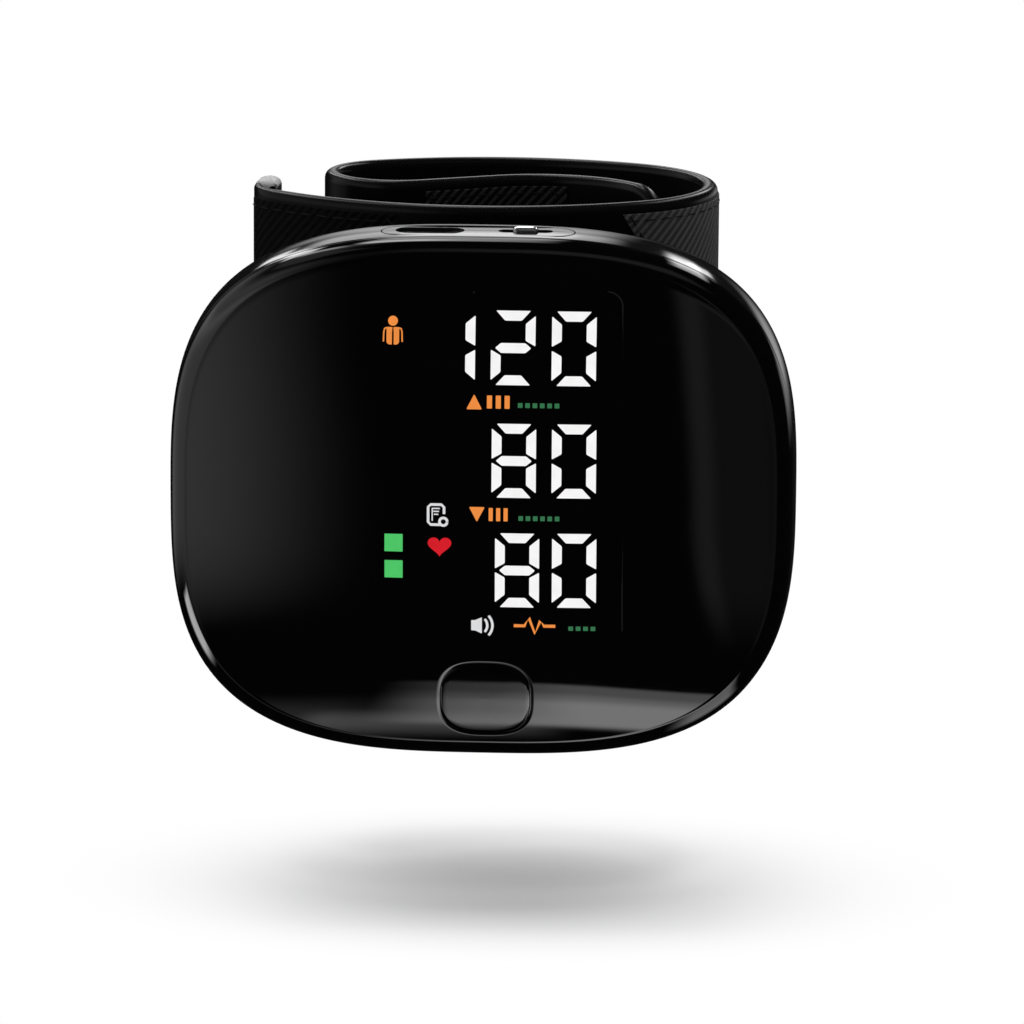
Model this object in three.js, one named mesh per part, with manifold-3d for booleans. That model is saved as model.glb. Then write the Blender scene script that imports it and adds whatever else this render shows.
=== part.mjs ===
// Wrist blood pressure monitor: a domed glossy housing with a lit display, carried on a springy curled cuff.
// Millimetres. +Z is up, the display looks along -Y, and the part stands on its lower edge at Z = 0.
// The origin lies on the ground under the middle of the whole part. Depths below are counted from the
// display's foremost point; the last step moves everything forward by half the part's depth.

import * as THREE from 'three';
import { mergeVertices } from 'three/addons/utils/BufferGeometryUtils.js';
import Module from 'manifold-3d';

const wasm = await Module();
wasm.setup();

// Housing outline and side profile
const housingWidth = 85;
const housingHeight = 72;
const outlinePowerShare = 3.05;
const domeDepth = 3.4;
const domePowerShare = 2.5;
const bevelRadius = 3;
const bevelStartAngle = 9;
const bevelEndAngle = 75;
const seamInset = 0.42;
const sidePowerShare = 2.2;
const seamGap = 0.25;
const crestDepth = 12;
const backDepth = 24.6;
const backInset = 14;
const backPowerShare = 2.4;
const caseWall = 1.8;
const coverThickness = 1.5;
const lipClearance = 0.25;
const lipThickness = 0.8;
const lipLength = 2.0;

// Clearances and cutting
const fitGap = 0.3;
const layerGap = 0.1;
const plateGap = 0.18;
const overrun = 4;
const weldTolerance = 1e-5;

// How finely the round forms are stepped
const outlineSteps = 48;
const faceRingShares = [0.3, 0.55, 0.75, 0.9, 1];
const innerFaceRingShares = [0.3, 0.6, 0.85];
const bevelSteps = 4;
const backSteps = 6;
const backInnerSteps = 4;
const crownSteps = 3;
const crownInnerSteps = 1;
const arcSegments = 6;
const coarseArcSegments = 3;
const keySteps = 32;
const holeSides = 8;
const barbSides = 10;
const screwSides = 12;
const rodSides = 16;
const drumSides = 24;
const canSides = 28;
const hollowSides = 96;

// Start button
const buttonX = 1.05;
const buttonZ = 9.1;
const buttonWidth = 12.9;
const buttonHeight = 10.6;
const buttonPowerShare = 3;
const buttonSlit = 0.35;
const buttonFlangeMargin = 0.5;
const buttonFlangeThickness = 0.5;
const buttonFlangeRise = 0.35;

// Board and posts
const boardThickness = 1.2;
const boardFront = 6.9;
const boardInset = 3.7;
const postSideMargin = 11.5;
const postEdgeMargin = 14;
const postRadius = 2.8;
const postShoulderRadius = 3.5;
const postEndDepth = 13.9;
const pilotRadius = 1.15;
const pillarRadius = 3.1;

// Case screws
const screwShankRadius = 0.95;
const screwHeadRadius = 2.2;
const screwHeadThickness = 1.4;
const screwSeatDepth = 20.2;
const screwTipDepth = 7.4;
const screwHoleRadius = 1.35;
const screwRecessRadius = 2.6;

// Tact switch under the start button
const tactSize = 6;
const tactBodyThickness = 0.8;
const tactStemRadius = 1.5;
const tactStemLength = 0.3;

// Display
const displayLeftShare = 0.158;
const displayRightShare = 0.228;
const displayTopMargin = 6.8;
const displayButtonMargin = 3.2;
const reflectorFront = 4.6;
const reflectorThickness = 1.7;
const displayBoardThickness = 0.4;

// Digits and signs, as shares of the display's height
const digitWidthShare = 0.127;
const digitHeightShare = 0.21;
const digitStrokeShare = 0.0273;
const segmentSlitShare = 0.0071;
const digitPitchShare = 0.17;
const lastDigitShare = 0.14;
const firstRowShare = 0.84;
const rowPitchShare = 0.319;
const signSizeShare = 0.0525;
const signWindowLengthShare = 0.1134;
const signWindowHeightShare = 0.04;
const signWindowShiftShare = 0.238;
const displayRows = 3;
const firstRowDigits = 3;
const otherRowDigits = 2;
const leadingOnePlace = 2;
const signColumnShare = 2.4;
const upperSquareShare = 1.5;
const sheetRiseShare = 3;

// Top side: control plate, charging port and slide switch
const controlY = 10;
const plateX = -0.8;
const plateLength = 26;
const plateWidth = 5.6;
const plateThickness = 0.9;
const slotCornerShare = 0.4995;
const portX = -7.3;
const portLength = 8.94;
const portWidth = 3.26;
const portWall = 0.3;
const portDepth = 7.3;
const portRecess = 0.7;
const portSlit = 0.2;
const tongueLength = 6.6;
const tongueThickness = 0.7;
const tongueReach = 4.6;
const tongueBaseDepth = 1.3;
const switchX = 5.6;
const switchSlotLength = 7.4;
const switchSlotWidth = 1.9;
const switchBodyLength = 9.4;
const switchBodyWidth = 3.1;
const switchBodyHeight = 3.6;
const switchGrooveLength = 8;
const switchGrooveWidth = 1.6;
const switchGrooveDepth = 1.9;
const knobLength = 3.4;
const knobWidth = 1.5;
const knobCorner = 0.5;
const knobProud = 0.5;
const knobFootLength = 3.9;
const knobFootWidth = 1.2;
const knobFootDepth = 1.4;

// Battery
const batteryHoseGap = 1.2;
const batteryWidth = 22;
const batteryHeight = 36;
const batteryThickness = 7.4;
const batteryCorner = 1.6;
const padShare = 0.8;
const padThickness = 0.5;
const padGap = 0.15;

// Pump
const pumpSideShare = 0.229;
const pumpY = 15;
const pumpRadius = 6.2;
const pumpCanWall = 0.5;
const pumpCanLength = 16.5;
const pumpHeadDrop = 20;
const pumpHeadLength = 11;
const pumpHeadWidth = 13.2;
const pumpHeadDepth = 12.4;
const pumpHeadCorner = 1.6;
const pumpChamberRadius = 4.9;
const pumpChamberDepth = 4.2;
const diaphragmThickness = 1.2;
const diaphragmCupRadius = 0.9;
const diaphragmCupDepth = 0.7;
const diaphragmCupCount = 3;
const diaphragmCupReach = 2.7;
const armatureRadius = 4.9;
const armatureLength = 9.5;
const armatureSlots = 3;
const armatureSlotWidth = 0.9;
const shaftRadius = 0.75;
const crankRadius = 2.6;
const crankThickness = 1.0;
const crankPinRadius = 0.6;
const crankPinReach = 1.5;
const crankPinLength = 0.9;
const shaftHoleRadius = 1.1;
const cradleRibShares = [0.2, 0.8];

// Air fittings and hoses
const barbRadius = 1.0;
const barbBoreRadius = 0.45;
const barbLength = 2.6;
const hoseRadius = 1.8;
const hoseBoreRadius = 1.2;
const hoseSides = 8;
const hoseBend = 2.6;
const hoseSteps = 8;
const manifoldSideShare = 0.059;
const manifoldSize = 5;
const manifoldSocketRadius = 1.3;
const manifoldSocketDepth = 2;
const pumpOutletRise = 5;

// Deflation valve
const valveRadius = 4;
const valveRise = 8;
const valveLength = 12;
const valveWall = 0.7;
const valveBoreRadius = 2.2;
const plungerRadius = 1.3;
const plungerCollarRadius = 2.0;
const plungerCollarThickness = 0.8;
const plungerProud = 1.6;
const plungerStroke = 0.8;
const springRadius = 1.95;
const springWire = 0.35;
const springTurns = 3;
const springStepsPerTurn = 8;
const springLength = 3.6;

// Pressure sensor
const sensorSize = 8;
const sensorThickness = 3;
const sensorPortRadius = 1.0;
const sensorPortLength = 1.9;

// Speaker and its grille
const speakerSideMargin = 15.5;
const speakerRadius = 7.4;
const speakerThickness = 3.4;
const speakerBack = 21.4;
const speakerRim = 1.0;
const coneThickness = 0.4;
const coneDepth = 1.1;
const coneFloorFrontShare = 0.45;
const coneFloorBackShare = 0.5;
const speakerHolderWall = 0.9;
const grilleHoleRadius = 0.65;
const grillePitch = 2.1;
const grilleRings = 2;
const grilleHolesInFirstRing = 6;
const grilleHoleSides = 6;

// Saddle between the case and the cuff
const saddleWidth = 34;
const saddleHeight = 40;
const saddleCorner = 4;
const saddleScrewReach = 17;
const saddleScrewHeadRadius = 2.0;
const saddleScrewHeadThickness = 0.4;
const saddleBossRadius = 2.4;
const saddleBossEnd = 18.5;
const nippleInnerEnd = 17.9;
const hoseOverNipple = 2.6;
const nippleRadius = 1.8;
const nippleFlangeRadius = 3.0;
const nippleFlangeThickness = 0.3;

// Cuff: a band that runs along tangent arcs, seen from above
const cuffWidth = 72;
const cuffCentreX = -2;
const bandFront = 27.4;
const bandThickness = 2.4;
const nearRadius = 45;
const nearSweep = 31;
const rightTurnRadius = 19.2;
const rightTurnSweep = 126;
const farRadius = 47;
const farSweep = 48;
const leftTurnRadius = 10.3;
const leftTurnSweep = 180;
const innerStraight = 11.5;
const innerRadius = 15;
const innerSweep = 74;
const endStraight = 7.5;
const tabSweep = 38;
const tabStraight = 1.8;
const tabTurnRadius = 8;
const tabTurnSweep = 56;
const hemStraight = 2.6;
const hemRadius = 1.7;
const hemSweep = 180;
const hemReturn = 5;
const hemThickness = 1.0;
const bandStepAngle = 8;
const hingeGap = 0.3;
const fabricHingeMargin = 0.9;

// Cuff layers, from the outside in
const coverWall = 0.7;
const coverRim = 1.8;
const fabricThickness = 0.45;
const fabricMargin = 2.1;
const curlerThickness = 0.45;
const bladderThickness = 0.45;
const bladderMargin = 4;
const endCornerRadius = 6;
const cornerAngles = [90, 70, 50, 30, 12];

// Values worked out from the sizes above
const radians = THREE.MathUtils.degToRad;
const halfWidth = housingWidth / 2;
const halfHeight = housingHeight / 2;
const bevelStart = radians(bevelStartAngle);
const bevelEnd = radians(bevelEndAngle);
const faceInset = seamInset + bevelRadius * (Math.cos(bevelStart) - Math.cos(bevelEnd));
const seamDepth = domeDepth + bevelRadius * (Math.sin(bevelEnd) - Math.sin(bevelStart));
const caseFront = seamDepth + seamGap;
const boardBack = boardFront + boardThickness;
const backInner = backDepth - caseWall;
const lipInset = seamInset + caseWall + lipClearance;
const fabricFront = bandFront - layerGap - fabricThickness;
const saddleFront = backDepth + fitGap;
const postX = halfWidth - postSideMargin;
const postReach = halfHeight - postEdgeMargin;
const displayLeft = -housingWidth * displayLeftShare;
const displayRight = housingWidth * displayRightShare;
const displayBottom = buttonZ + buttonHeight / 2 + displayButtonMargin;
const displayTop = housingHeight - displayTopMargin;
const displayHeight = displayTop - displayBottom;
const batteryX = cuffCentreX - hoseRadius - batteryHoseGap - batteryWidth / 2;
const batteryZ = halfHeight;
const manifoldX = housingWidth * manifoldSideShare;
const manifoldZ = halfHeight;
const pumpX = housingWidth * pumpSideShare;
const pumpHeadBottom = halfHeight - pumpHeadDrop;
const pumpOutletZ = pumpHeadBottom + pumpOutletRise;
const valveBottom = manifoldZ + valveRise;
const speakerX = speakerSideMargin - halfWidth;
const speakerZ = halfHeight;
const portTop = housingHeight - portRecess;
const switchTop = housingHeight - caseWall - seamInset - fitGap;
const pumpHeadTop = pumpHeadBottom + pumpHeadLength;
const canBottom = pumpHeadTop + layerGap;
const canTop = canBottom + pumpCanLength;
const valveFloor = valveBottom + valveWall * 2;
const springFoot = valveFloor + layerGap;
const collarBottom = springFoot + springLength + layerGap;
const sensorFront = boardBack + layerGap;
const sensorBack = sensorFront + sensorThickness;
const curlerOffset = coverWall + layerGap;
const bladderOffset = curlerOffset + curlerThickness + layerGap;
const liningOffset = bladderOffset + bladderThickness + layerGap;
const layerMargin = coverRim + fitGap;

// Solids: joining and cutting

function solidOf(geometry) {
  const bare = geometry.clone();
  bare.deleteAttribute('normal');
  bare.deleteAttribute('uv');
  const merged = mergeVertices(bare, weldTolerance);
  const mesh = new wasm.Mesh({
    numProp: 3,
    vertProperties: new Float32Array(merged.attributes.position.array),
    triVerts: new Uint32Array(merged.index.array),
  });
  return new wasm.Manifold(mesh);
}

function geometryOf(solid) {
  const mesh = solid.getMesh();
  const positions = new Float32Array(mesh.numVert * 3);
  for (let vertex = 0; vertex < mesh.numVert; vertex += 1) {
    for (let axis = 0; axis < 3; axis += 1) {
      positions[vertex * 3 + axis] = mesh.vertProperties[vertex * mesh.numProp + axis];
    }
  }
  const geometry = new THREE.BufferGeometry();
  geometry.setAttribute('position', new THREE.BufferAttribute(positions, 3));
  geometry.setIndex(Array.from(mesh.triVerts));
  geometry.computeVertexNormals();
  return geometry;
}

function joined(solids) {
  return solids.reduce((whole, piece) => whole.add(piece));
}

function cutBy(solid, tools) {
  return tools.reduce((whole, tool) => whole.subtract(tool), solid);
}

// A closed surface through rings of equal count; a ring of one point closes an end.
function loft(rings) {
  const positions = [];
  const starts = [];
  for (const ring of rings) {
    starts.push(positions.length / 3);
    for (const point of ring) positions.push(...point);
  }
  const triangles = [];
  for (let band = 0; band + 1 < rings.length; band += 1) {
    const lower = rings[band].length;
    const upper = rings[band + 1].length;
    const count = Math.max(lower, upper);
    for (let step = 0; step < count; step += 1) {
      const next = (step + 1) % count;
      const a = starts[band] + (lower === 1 ? 0 : step);
      const b = starts[band] + (lower === 1 ? 0 : next);
      const c = starts[band + 1] + (upper === 1 ? 0 : next);
      const d = starts[band + 1] + (upper === 1 ? 0 : step);
      if (lower > 1) triangles.push(a, b, c);
      if (upper > 1) triangles.push(a, c, d);
    }
  }
  const flipped = signedVolume(positions, triangles) < 0;
  if (flipped) {
    for (let corner = 0; corner < triangles.length; corner += 3) {
      [triangles[corner], triangles[corner + 1]] = [triangles[corner + 1], triangles[corner]];
    }
  }
  const geometry = new THREE.BufferGeometry();
  geometry.setAttribute('position', new THREE.BufferAttribute(new Float32Array(positions), 3));
  geometry.setIndex(triangles);
  return solidOf(geometry);
}

function signedVolume(positions, triangles) {
  const corner = (index) => new THREE.Vector3().fromArray(positions, triangles[index] * 3);
  let volume = 0;
  for (let index = 0; index < triangles.length; index += 3) {
    volume += corner(index).dot(corner(index + 1).cross(corner(index + 2)));
  }
  return volume;
}

// Simple solids, placed by their centre

function block(sizeX, sizeY, sizeZ, x, y, z) {
  return solidOf(new THREE.BoxGeometry(sizeX, sizeY, sizeZ).translate(x, y, z));
}

function blockBetween(lowX, highX, lowY, highY, lowZ, highZ) {
  const middle = [(lowX + highX) / 2, (lowY + highY) / 2, (lowZ + highZ) / 2];
  return block(highX - lowX, highY - lowY, highZ - lowZ, ...middle);
}

function rodAlongY(radius, lowY, highY, x, z, sides = rodSides) {
  const geometry = new THREE.CylinderGeometry(radius, radius, highY - lowY, sides);
  return solidOf(geometry.translate(x, (lowY + highY) / 2, z));
}

function rodAlongZ(radius, lowZ, highZ, x, y, sides = rodSides) {
  const geometry = new THREE.CylinderGeometry(radius, radius, highZ - lowZ, sides);
  return solidOf(geometry.rotateX(Math.PI / 2).translate(x, y, (lowZ + highZ) / 2));
}

function rodAlongX(radius, lowX, highX, y, z, sides = rodSides) {
  const geometry = new THREE.CylinderGeometry(radius, radius, highX - lowX, sides);
  return solidOf(geometry.rotateZ(Math.PI / 2).translate((lowX + highX) / 2, y, z));
}

function extruded(shape, length, curveSegments = arcSegments) {
  return new THREE.ExtrudeGeometry(shape, { depth: length, bevelEnabled: false, curveSegments });
}

function roundedShape(width, height, corner) {
  const shape = new THREE.Shape();
  const x = width / 2;
  const y = height / 2;
  shape.moveTo(x, y - corner);
  shape.absarc(x - corner, y - corner, corner, 0, Math.PI / 2);
  shape.absarc(corner - x, y - corner, corner, Math.PI / 2, Math.PI);
  shape.absarc(corner - x, corner - y, corner, Math.PI, Math.PI * 1.5);
  shape.absarc(x - corner, corner - y, corner, Math.PI * 1.5, Math.PI * 2);
  return shape;
}

// A rounded outline in X and Z, drawn out along Y
function plateAlongY(shape, lowY, highY, x, z, curveSegments = arcSegments) {
  const geometry = extruded(shape, highY - lowY, curveSegments);
  return solidOf(geometry.rotateX(Math.PI / 2).translate(x, highY, z));
}

// A rounded outline in X and Y, drawn out along Z
function plateAlongZ(shape, lowZ, highZ, x, y, curveSegments = arcSegments) {
  return solidOf(extruded(shape, highZ - lowZ, curveSegments).translate(x, y, lowZ));
}

// The housing's outline is a superellipse; every ring of it lies in a plane of equal depth.
function squircleRing(radiusX, radiusZ, powerShare, x, depth, z, steps = outlineSteps) {
  const ring = [];
  for (let step = 0; step < steps; step += 1) {
    const angle = (step + 0.5) * (2 * Math.PI) / steps;
    const across = Math.cos(angle);
    const along = Math.sin(angle);
    const reach = (Math.abs(across) ** powerShare + Math.abs(along) ** powerShare) ** (-1 / powerShare);
    ring.push([x + radiusX * across * reach, depth, z + radiusZ * along * reach]);
  }
  return ring;
}

function outlineRing(depth, inset) {
  return squircleRing(halfWidth - inset, halfHeight - inset, outlinePowerShare, 0, depth, halfHeight);
}

function squirclePrism(radiusX, radiusZ, powerShare, lowY, highY, x, z, steps) {
  return loft([
    [[x, lowY, z]],
    squircleRing(radiusX, radiusZ, powerShare, x, lowY, z, steps),
    squircleRing(radiusX, radiusZ, powerShare, x, highY, z, steps),
    [[x, highY, z]],
  ]);
}

function faceRing(share, offset) {
  const radiusX = (halfWidth - faceInset) * share;
  const radiusZ = (halfHeight - faceInset) * share;
  const depth = domeDepth * share ** domePowerShare + offset;
  return squircleRing(radiusX, radiusZ, outlinePowerShare, 0, depth, halfHeight);
}

function pole(depth) {
  return [[0, depth, halfHeight]];
}

// The outside of the front cover from its middle to the seam
function frontRings() {
  const rings = [pole(0), ...faceRingShares.map((share) => faceRing(share, 0))];
  for (let step = 1; step <= bevelSteps; step += 1) {
    const angle = bevelEnd + (bevelStart - bevelEnd) * (step / bevelSteps);
    const depth = seamDepth - bevelRadius * (Math.sin(angle) - Math.sin(bevelStart));
    const inset = seamInset + bevelRadius * (Math.cos(bevelStart) - Math.cos(angle));
    rings.push(outlineRing(depth, inset));
  }
  return rings;
}

// The outside of the rear case, from the middle of its back to the seam; a wall moves it inwards.
function rearRings(wall) {
  const rollSteps = wall > 0 ? backInnerSteps : backSteps;
  const frontSteps = wall > 0 ? crownInnerSteps : crownSteps;
  const depthToBack = backDepth - wall - crestDepth;
  const rings = [[[0, crestDepth + depthToBack, halfHeight]]];
  for (let step = 0; step <= rollSteps; step += 1) {
    const angle = (Math.PI / 2) * (step / rollSteps);
    const backShare = Math.cos(angle) ** (2 / backPowerShare);
    const insetShare = 1 - Math.sin(angle) ** (2 / backPowerShare);
    rings.push(outlineRing(crestDepth + depthToBack * backShare, wall + backInset * insetShare));
  }
  for (let step = 1; step <= frontSteps; step += 1) {
    const share = step / frontSteps;
    const inset = wall + seamInset * share ** sidePowerShare;
    rings.push(outlineRing(crestDepth - (crestDepth - caseFront) * share, inset));
  }
  return rings;
}

// How deep the dome lies at a height, seen from the middle of the display
function domeDepthAt(z) {
  return domeDepth * (Math.abs(halfHeight - z) / (halfHeight - faceInset)) ** domePowerShare;
}

const postPlaces = [-1, 1].flatMap((side) => [-1, 1].map((level) => (
  { x: side * postX, z: halfHeight + level * postReach }
)));
const saddleScrewPlaces = [-1, 1].map((level) => (
  { x: cuffCentreX, z: halfHeight + level * saddleScrewReach }
));

// Front cover: domed plate, rim, locating lip and four posts behind
function frontCover() {
  const lipInner = lipInset + lipThickness;
  const plate = loft([
    ...frontRings(),
    outlineRing(seamDepth, lipInset),
    outlineRing(seamDepth + lipLength, lipInset),
    outlineRing(seamDepth + lipLength, lipInner),
    outlineRing(coverThickness + domeDepth * (1 - lipInner / halfWidth) ** domePowerShare, lipInner),
    ...innerFaceRingShares.toReversed().map((share) => faceRing(share, coverThickness)),
    pole(coverThickness),
  ]);
  const posts = postPlaces.flatMap(({ x, z }) => [
    rodAlongY(postShoulderRadius, domeDepth, boardFront - fitGap, x, z, screwSides),
    rodAlongY(postRadius, seamDepth, postEndDepth, x, z, screwSides),
  ]);
  const pilots = postPlaces.map(({ x, z }) => (
    rodAlongY(pilotRadius, screwTipDepth - fitGap, postEndDepth + overrun, x, z, holeSides)
  ));
  const hole = squirclePrism(buttonWidth / 2, buttonHeight / 2, buttonPowerShare,
    -overrun, seamDepth + overrun, buttonX, buttonZ, keySteps);
  return cutBy(joined([plate, ...posts]), [...pilots, hole]);
}

// Start button: a key that follows the dome, with a flange behind the cover
function startButton() {
  const flangeFront = domeDepthAt(buttonZ - buttonHeight / 2) + coverThickness + fitGap;
  const dome = loft([...frontRings(), pole(flangeFront)]);
  const key = squirclePrism(buttonWidth / 2 - buttonSlit, buttonHeight / 2 - buttonSlit, buttonPowerShare,
    -overrun, flangeFront, buttonX, buttonZ, keySteps);
  const flange = squirclePrism(buttonWidth / 2 + buttonFlangeMargin, buttonHeight / 2, buttonPowerShare,
    flangeFront, flangeFront + buttonFlangeThickness, buttonX, buttonZ + buttonFlangeRise, keySteps);
  return dome.intersect(key).add(flange);
}

// Rear case: crowned shell with pillars, bosses, speaker holder, cradle ribs and every opening
function rearCase() {
  const shell = loft([...rearRings(0), ...rearRings(caseWall).toReversed()]);
  const body = loft([...rearRings(0), pole(caseFront)]);
  const pillars = postPlaces.map(({ x, z }) => (
    rodAlongY(pillarRadius, postEndDepth + fitGap, backDepth, x, z, screwSides)
  ));
  const bosses = saddleScrewPlaces.map(({ x, z }) => (
    rodAlongY(saddleBossRadius, saddleBossEnd, backDepth, x, z, screwSides)
  ));
  const holder = rodAlongY(speakerRadius + fitGap + speakerHolderWall, speakerBack - speakerThickness,
    backDepth, speakerX, speakerZ, drumSides);
  const holderBore = rodAlongY(speakerRadius + fitGap, speakerBack - speakerThickness - overrun,
    speakerBack + fitGap, speakerX, speakerZ, drumSides);
  const inside = joined([...pillars, ...bosses, holder.subtract(holderBore), pumpCradle()]).intersect(body);
  return cutBy(shell.add(inside), [...caseScrewHoles(), ...saddleHoles(), ...grilleHoles(), ...topHoles()]);
}

// Two ribs that hold the pump's can from behind
function pumpCradle() {
  const ribThickness = caseWall;
  const ribReach = pumpRadius + caseWall;
  const ribs = cradleRibShares.map((heightShare) => {
    const z = canBottom + pumpCanLength * heightShare;
    return blockBetween(pumpX - ribReach, pumpX + ribReach, pumpY + pumpRadius / 2, backDepth,
      z - ribThickness / 2, z + ribThickness / 2);
  });
  const clear = rodAlongZ(pumpRadius + fitGap, canBottom, canTop, pumpX, pumpY, canSides);
  return joined(ribs).subtract(clear);
}

function caseScrewHoles() {
  return postPlaces.flatMap(({ x, z }) => [
    rodAlongY(screwHoleRadius, postEndDepth, backDepth + overrun, x, z, holeSides),
    rodAlongY(screwRecessRadius, screwSeatDepth, backDepth + overrun, x, z, rodSides),
  ]);
}

function saddleHoles() {
  const pilots = saddleScrewPlaces.map(({ x, z }) => (
    rodAlongY(pilotRadius, saddleBossEnd + fitGap, backDepth + overrun, x, z, screwSides)
  ));
  return [...pilots, nippleHole(backInner - overrun, backDepth + overrun)];
}

function nippleHole(lowY, highY) {
  return rodAlongY(nippleRadius + fitGap, lowY, highY, cuffCentreX, halfHeight);
}

// Speaker grille: a middle hole and rings of holes round it
function grilleHoles() {
  const holes = [[0, 0]];
  for (let ring = 1; ring <= grilleRings; ring += 1) {
    const count = ring * grilleHolesInFirstRing;
    for (let index = 0; index < count; index += 1) {
      const angle = (2 * Math.PI * index) / count;
      holes.push([Math.cos(angle) * ring * grillePitch, Math.sin(angle) * ring * grillePitch]);
    }
  }
  return holes.map(([x, z]) => (
    rodAlongY(grilleHoleRadius, speakerBack - fitGap, backDepth + overrun, speakerX + x, speakerZ + z,
      grilleHoleSides)
  ));
}

function stadium(length, width) {
  return roundedShape(length, width, width * slotCornerShare);
}

// Recess for the control plate and the two slots below it
function topHoles() {
  const floor = housingHeight - plateThickness - plateGap;
  const recess = plateAlongZ(stadium(plateLength + 2 * plateGap, plateWidth + 2 * plateGap),
    floor, housingHeight + overrun, plateX, controlY);
  return [recess, portOpening(housingHeight - caseWall - overrun), switchSlot()];
}

function portOpening(lowZ) {
  return plateAlongZ(stadium(portLength + 2 * portSlit, portWidth + 2 * portSlit),
    lowZ, housingHeight + overrun, portX, controlY);
}

function switchSlot() {
  return plateAlongZ(stadium(switchSlotLength, switchSlotWidth),
    housingHeight - caseWall - overrun, housingHeight + overrun, switchX, controlY);
}

// Control plate: lies flush in the crowned top side
function controlPlate() {
  const crown = loft([...rearRings(0), pole(caseFront)]);
  const stem = plateAlongZ(stadium(plateLength, plateWidth), housingHeight - plateThickness,
    housingHeight + overrun, plateX, controlY);
  return cutBy(crown.intersect(stem), [portOpening(housingHeight - overrun), switchSlot()]);
}

// Charging port: folded metal shell with a closed end, and its tongue
function portShell() {
  const shell = plateAlongZ(stadium(portLength, portWidth), portTop - portDepth, portTop, portX, controlY);
  const bore = plateAlongZ(stadium(portLength - 2 * portWall, portWidth - 2 * portWall),
    portTop - portDepth + portWall, portTop + overrun, portX, controlY);
  return shell.subtract(bore);
}

function portTongue() {
  const floor = portTop - portDepth + portWall + layerGap;
  const baseLength = portLength - 2 * portWall - 2 * layerGap;
  const baseWidth = portWidth - 2 * portWall - 2 * layerGap;
  const base = plateAlongZ(stadium(baseLength, baseWidth), floor, floor + tongueBaseDepth, portX, controlY);
  const blade = block(tongueLength, tongueThickness, tongueReach, portX, controlY,
    floor + tongueBaseDepth + tongueReach / 2 - tongueThickness / 2);
  return base.add(blade);
}

// Slide switch: body on the board, knob standing out of the slot
function slideSwitchBody() {
  const body = blockBetween(switchX - switchBodyLength / 2, switchX + switchBodyLength / 2,
    controlY - switchBodyWidth / 2, controlY + switchBodyWidth / 2, switchTop - switchBodyHeight, switchTop);
  const groove = block(switchGrooveLength, switchGrooveWidth, switchGrooveDepth * 2,
    switchX, controlY, switchTop);
  return body.subtract(groove);
}

function slideSwitchKnob() {
  const foot = blockBetween(switchX - knobFootLength / 2, switchX + knobFootLength / 2,
    controlY - knobFootWidth / 2, controlY + knobFootWidth / 2, switchTop - knobFootDepth, switchTop);
  const stem = plateAlongZ(roundedShape(knobLength, knobWidth, knobCorner), switchTop,
    housingHeight + knobProud, switchX, controlY, coarseArcSegments);
  return foot.add(stem);
}

// Boards and the tact switch
function mainBoard() {
  const plate = loft([
    [[0, boardFront, halfHeight]],
    outlineRing(boardFront, boardInset),
    outlineRing(boardBack, boardInset),
    [[0, boardBack, halfHeight]],
  ]);
  const holes = postPlaces.map(({ x, z }) => (
    rodAlongY(postRadius + fitGap, boardFront - overrun, boardBack + overrun, x, z)
  ));
  return cutBy(plate, holes);
}

function tactSwitch() {
  const back = boardFront - layerGap;
  const front = back - tactBodyThickness;
  const body = blockBetween(buttonX - tactSize / 2, buttonX + tactSize / 2, front, back,
    buttonZ - tactSize / 2, buttonZ + tactSize / 2);
  return body.add(rodAlongY(tactStemRadius, front - tactStemLength, back, buttonX, buttonZ));
}

// Seven-segment digits: pointed bars around a figure of eight
function segmentShape(length, stroke) {
  const half = length / 2;
  const tip = stroke / 2;
  const shape = new THREE.Shape();
  shape.moveTo(-half, 0);
  shape.lineTo(tip - half, -tip);
  shape.lineTo(half - tip, -tip);
  shape.lineTo(half, 0);
  shape.lineTo(half - tip, tip);
  shape.lineTo(tip - half, tip);
  shape.closePath();
  return shape;
}

const segmentPlaces = {
  top: { acrossShare: 0, upShare: 1, upright: false },
  middle: { acrossShare: 0, upShare: 0, upright: false },
  bottom: { acrossShare: 0, upShare: -1, upright: false },
  upperLeft: { acrossShare: -1, upShare: 0.5, upright: true },
  upperRight: { acrossShare: 1, upShare: 0.5, upright: true },
  lowerLeft: { acrossShare: -1, upShare: -0.5, upright: true },
  lowerRight: { acrossShare: 1, upShare: -0.5, upright: true },
};
const oneSegments = ['upperRight', 'lowerRight'];
const allSegments = Object.keys(segmentPlaces);

function digitWells(x, z, names, lowY, highY) {
  const digitWidth = displayHeight * digitWidthShare;
  const digitHeight = displayHeight * digitHeightShare;
  const digitStroke = displayHeight * digitStrokeShare;
  const segmentSlit = displayHeight * segmentSlitShare;
  const reachX = (digitWidth - digitStroke) / 2;
  const reachZ = (digitHeight - digitStroke) / 2;
  return names.map((name) => {
    const place = segmentPlaces[name];
    const length = (place.upright ? reachZ : 2 * reachX) - 2 * segmentSlit;
    const geometry = extruded(segmentShape(length, digitStroke), highY - lowY);
    if (place.upright) geometry.rotateZ(Math.PI / 2);
    geometry.rotateX(Math.PI / 2);
    geometry.translate(x + place.acrossShare * reachX, highY, z + place.upShare * reachZ);
    return solidOf(geometry);
  });
}

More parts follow.
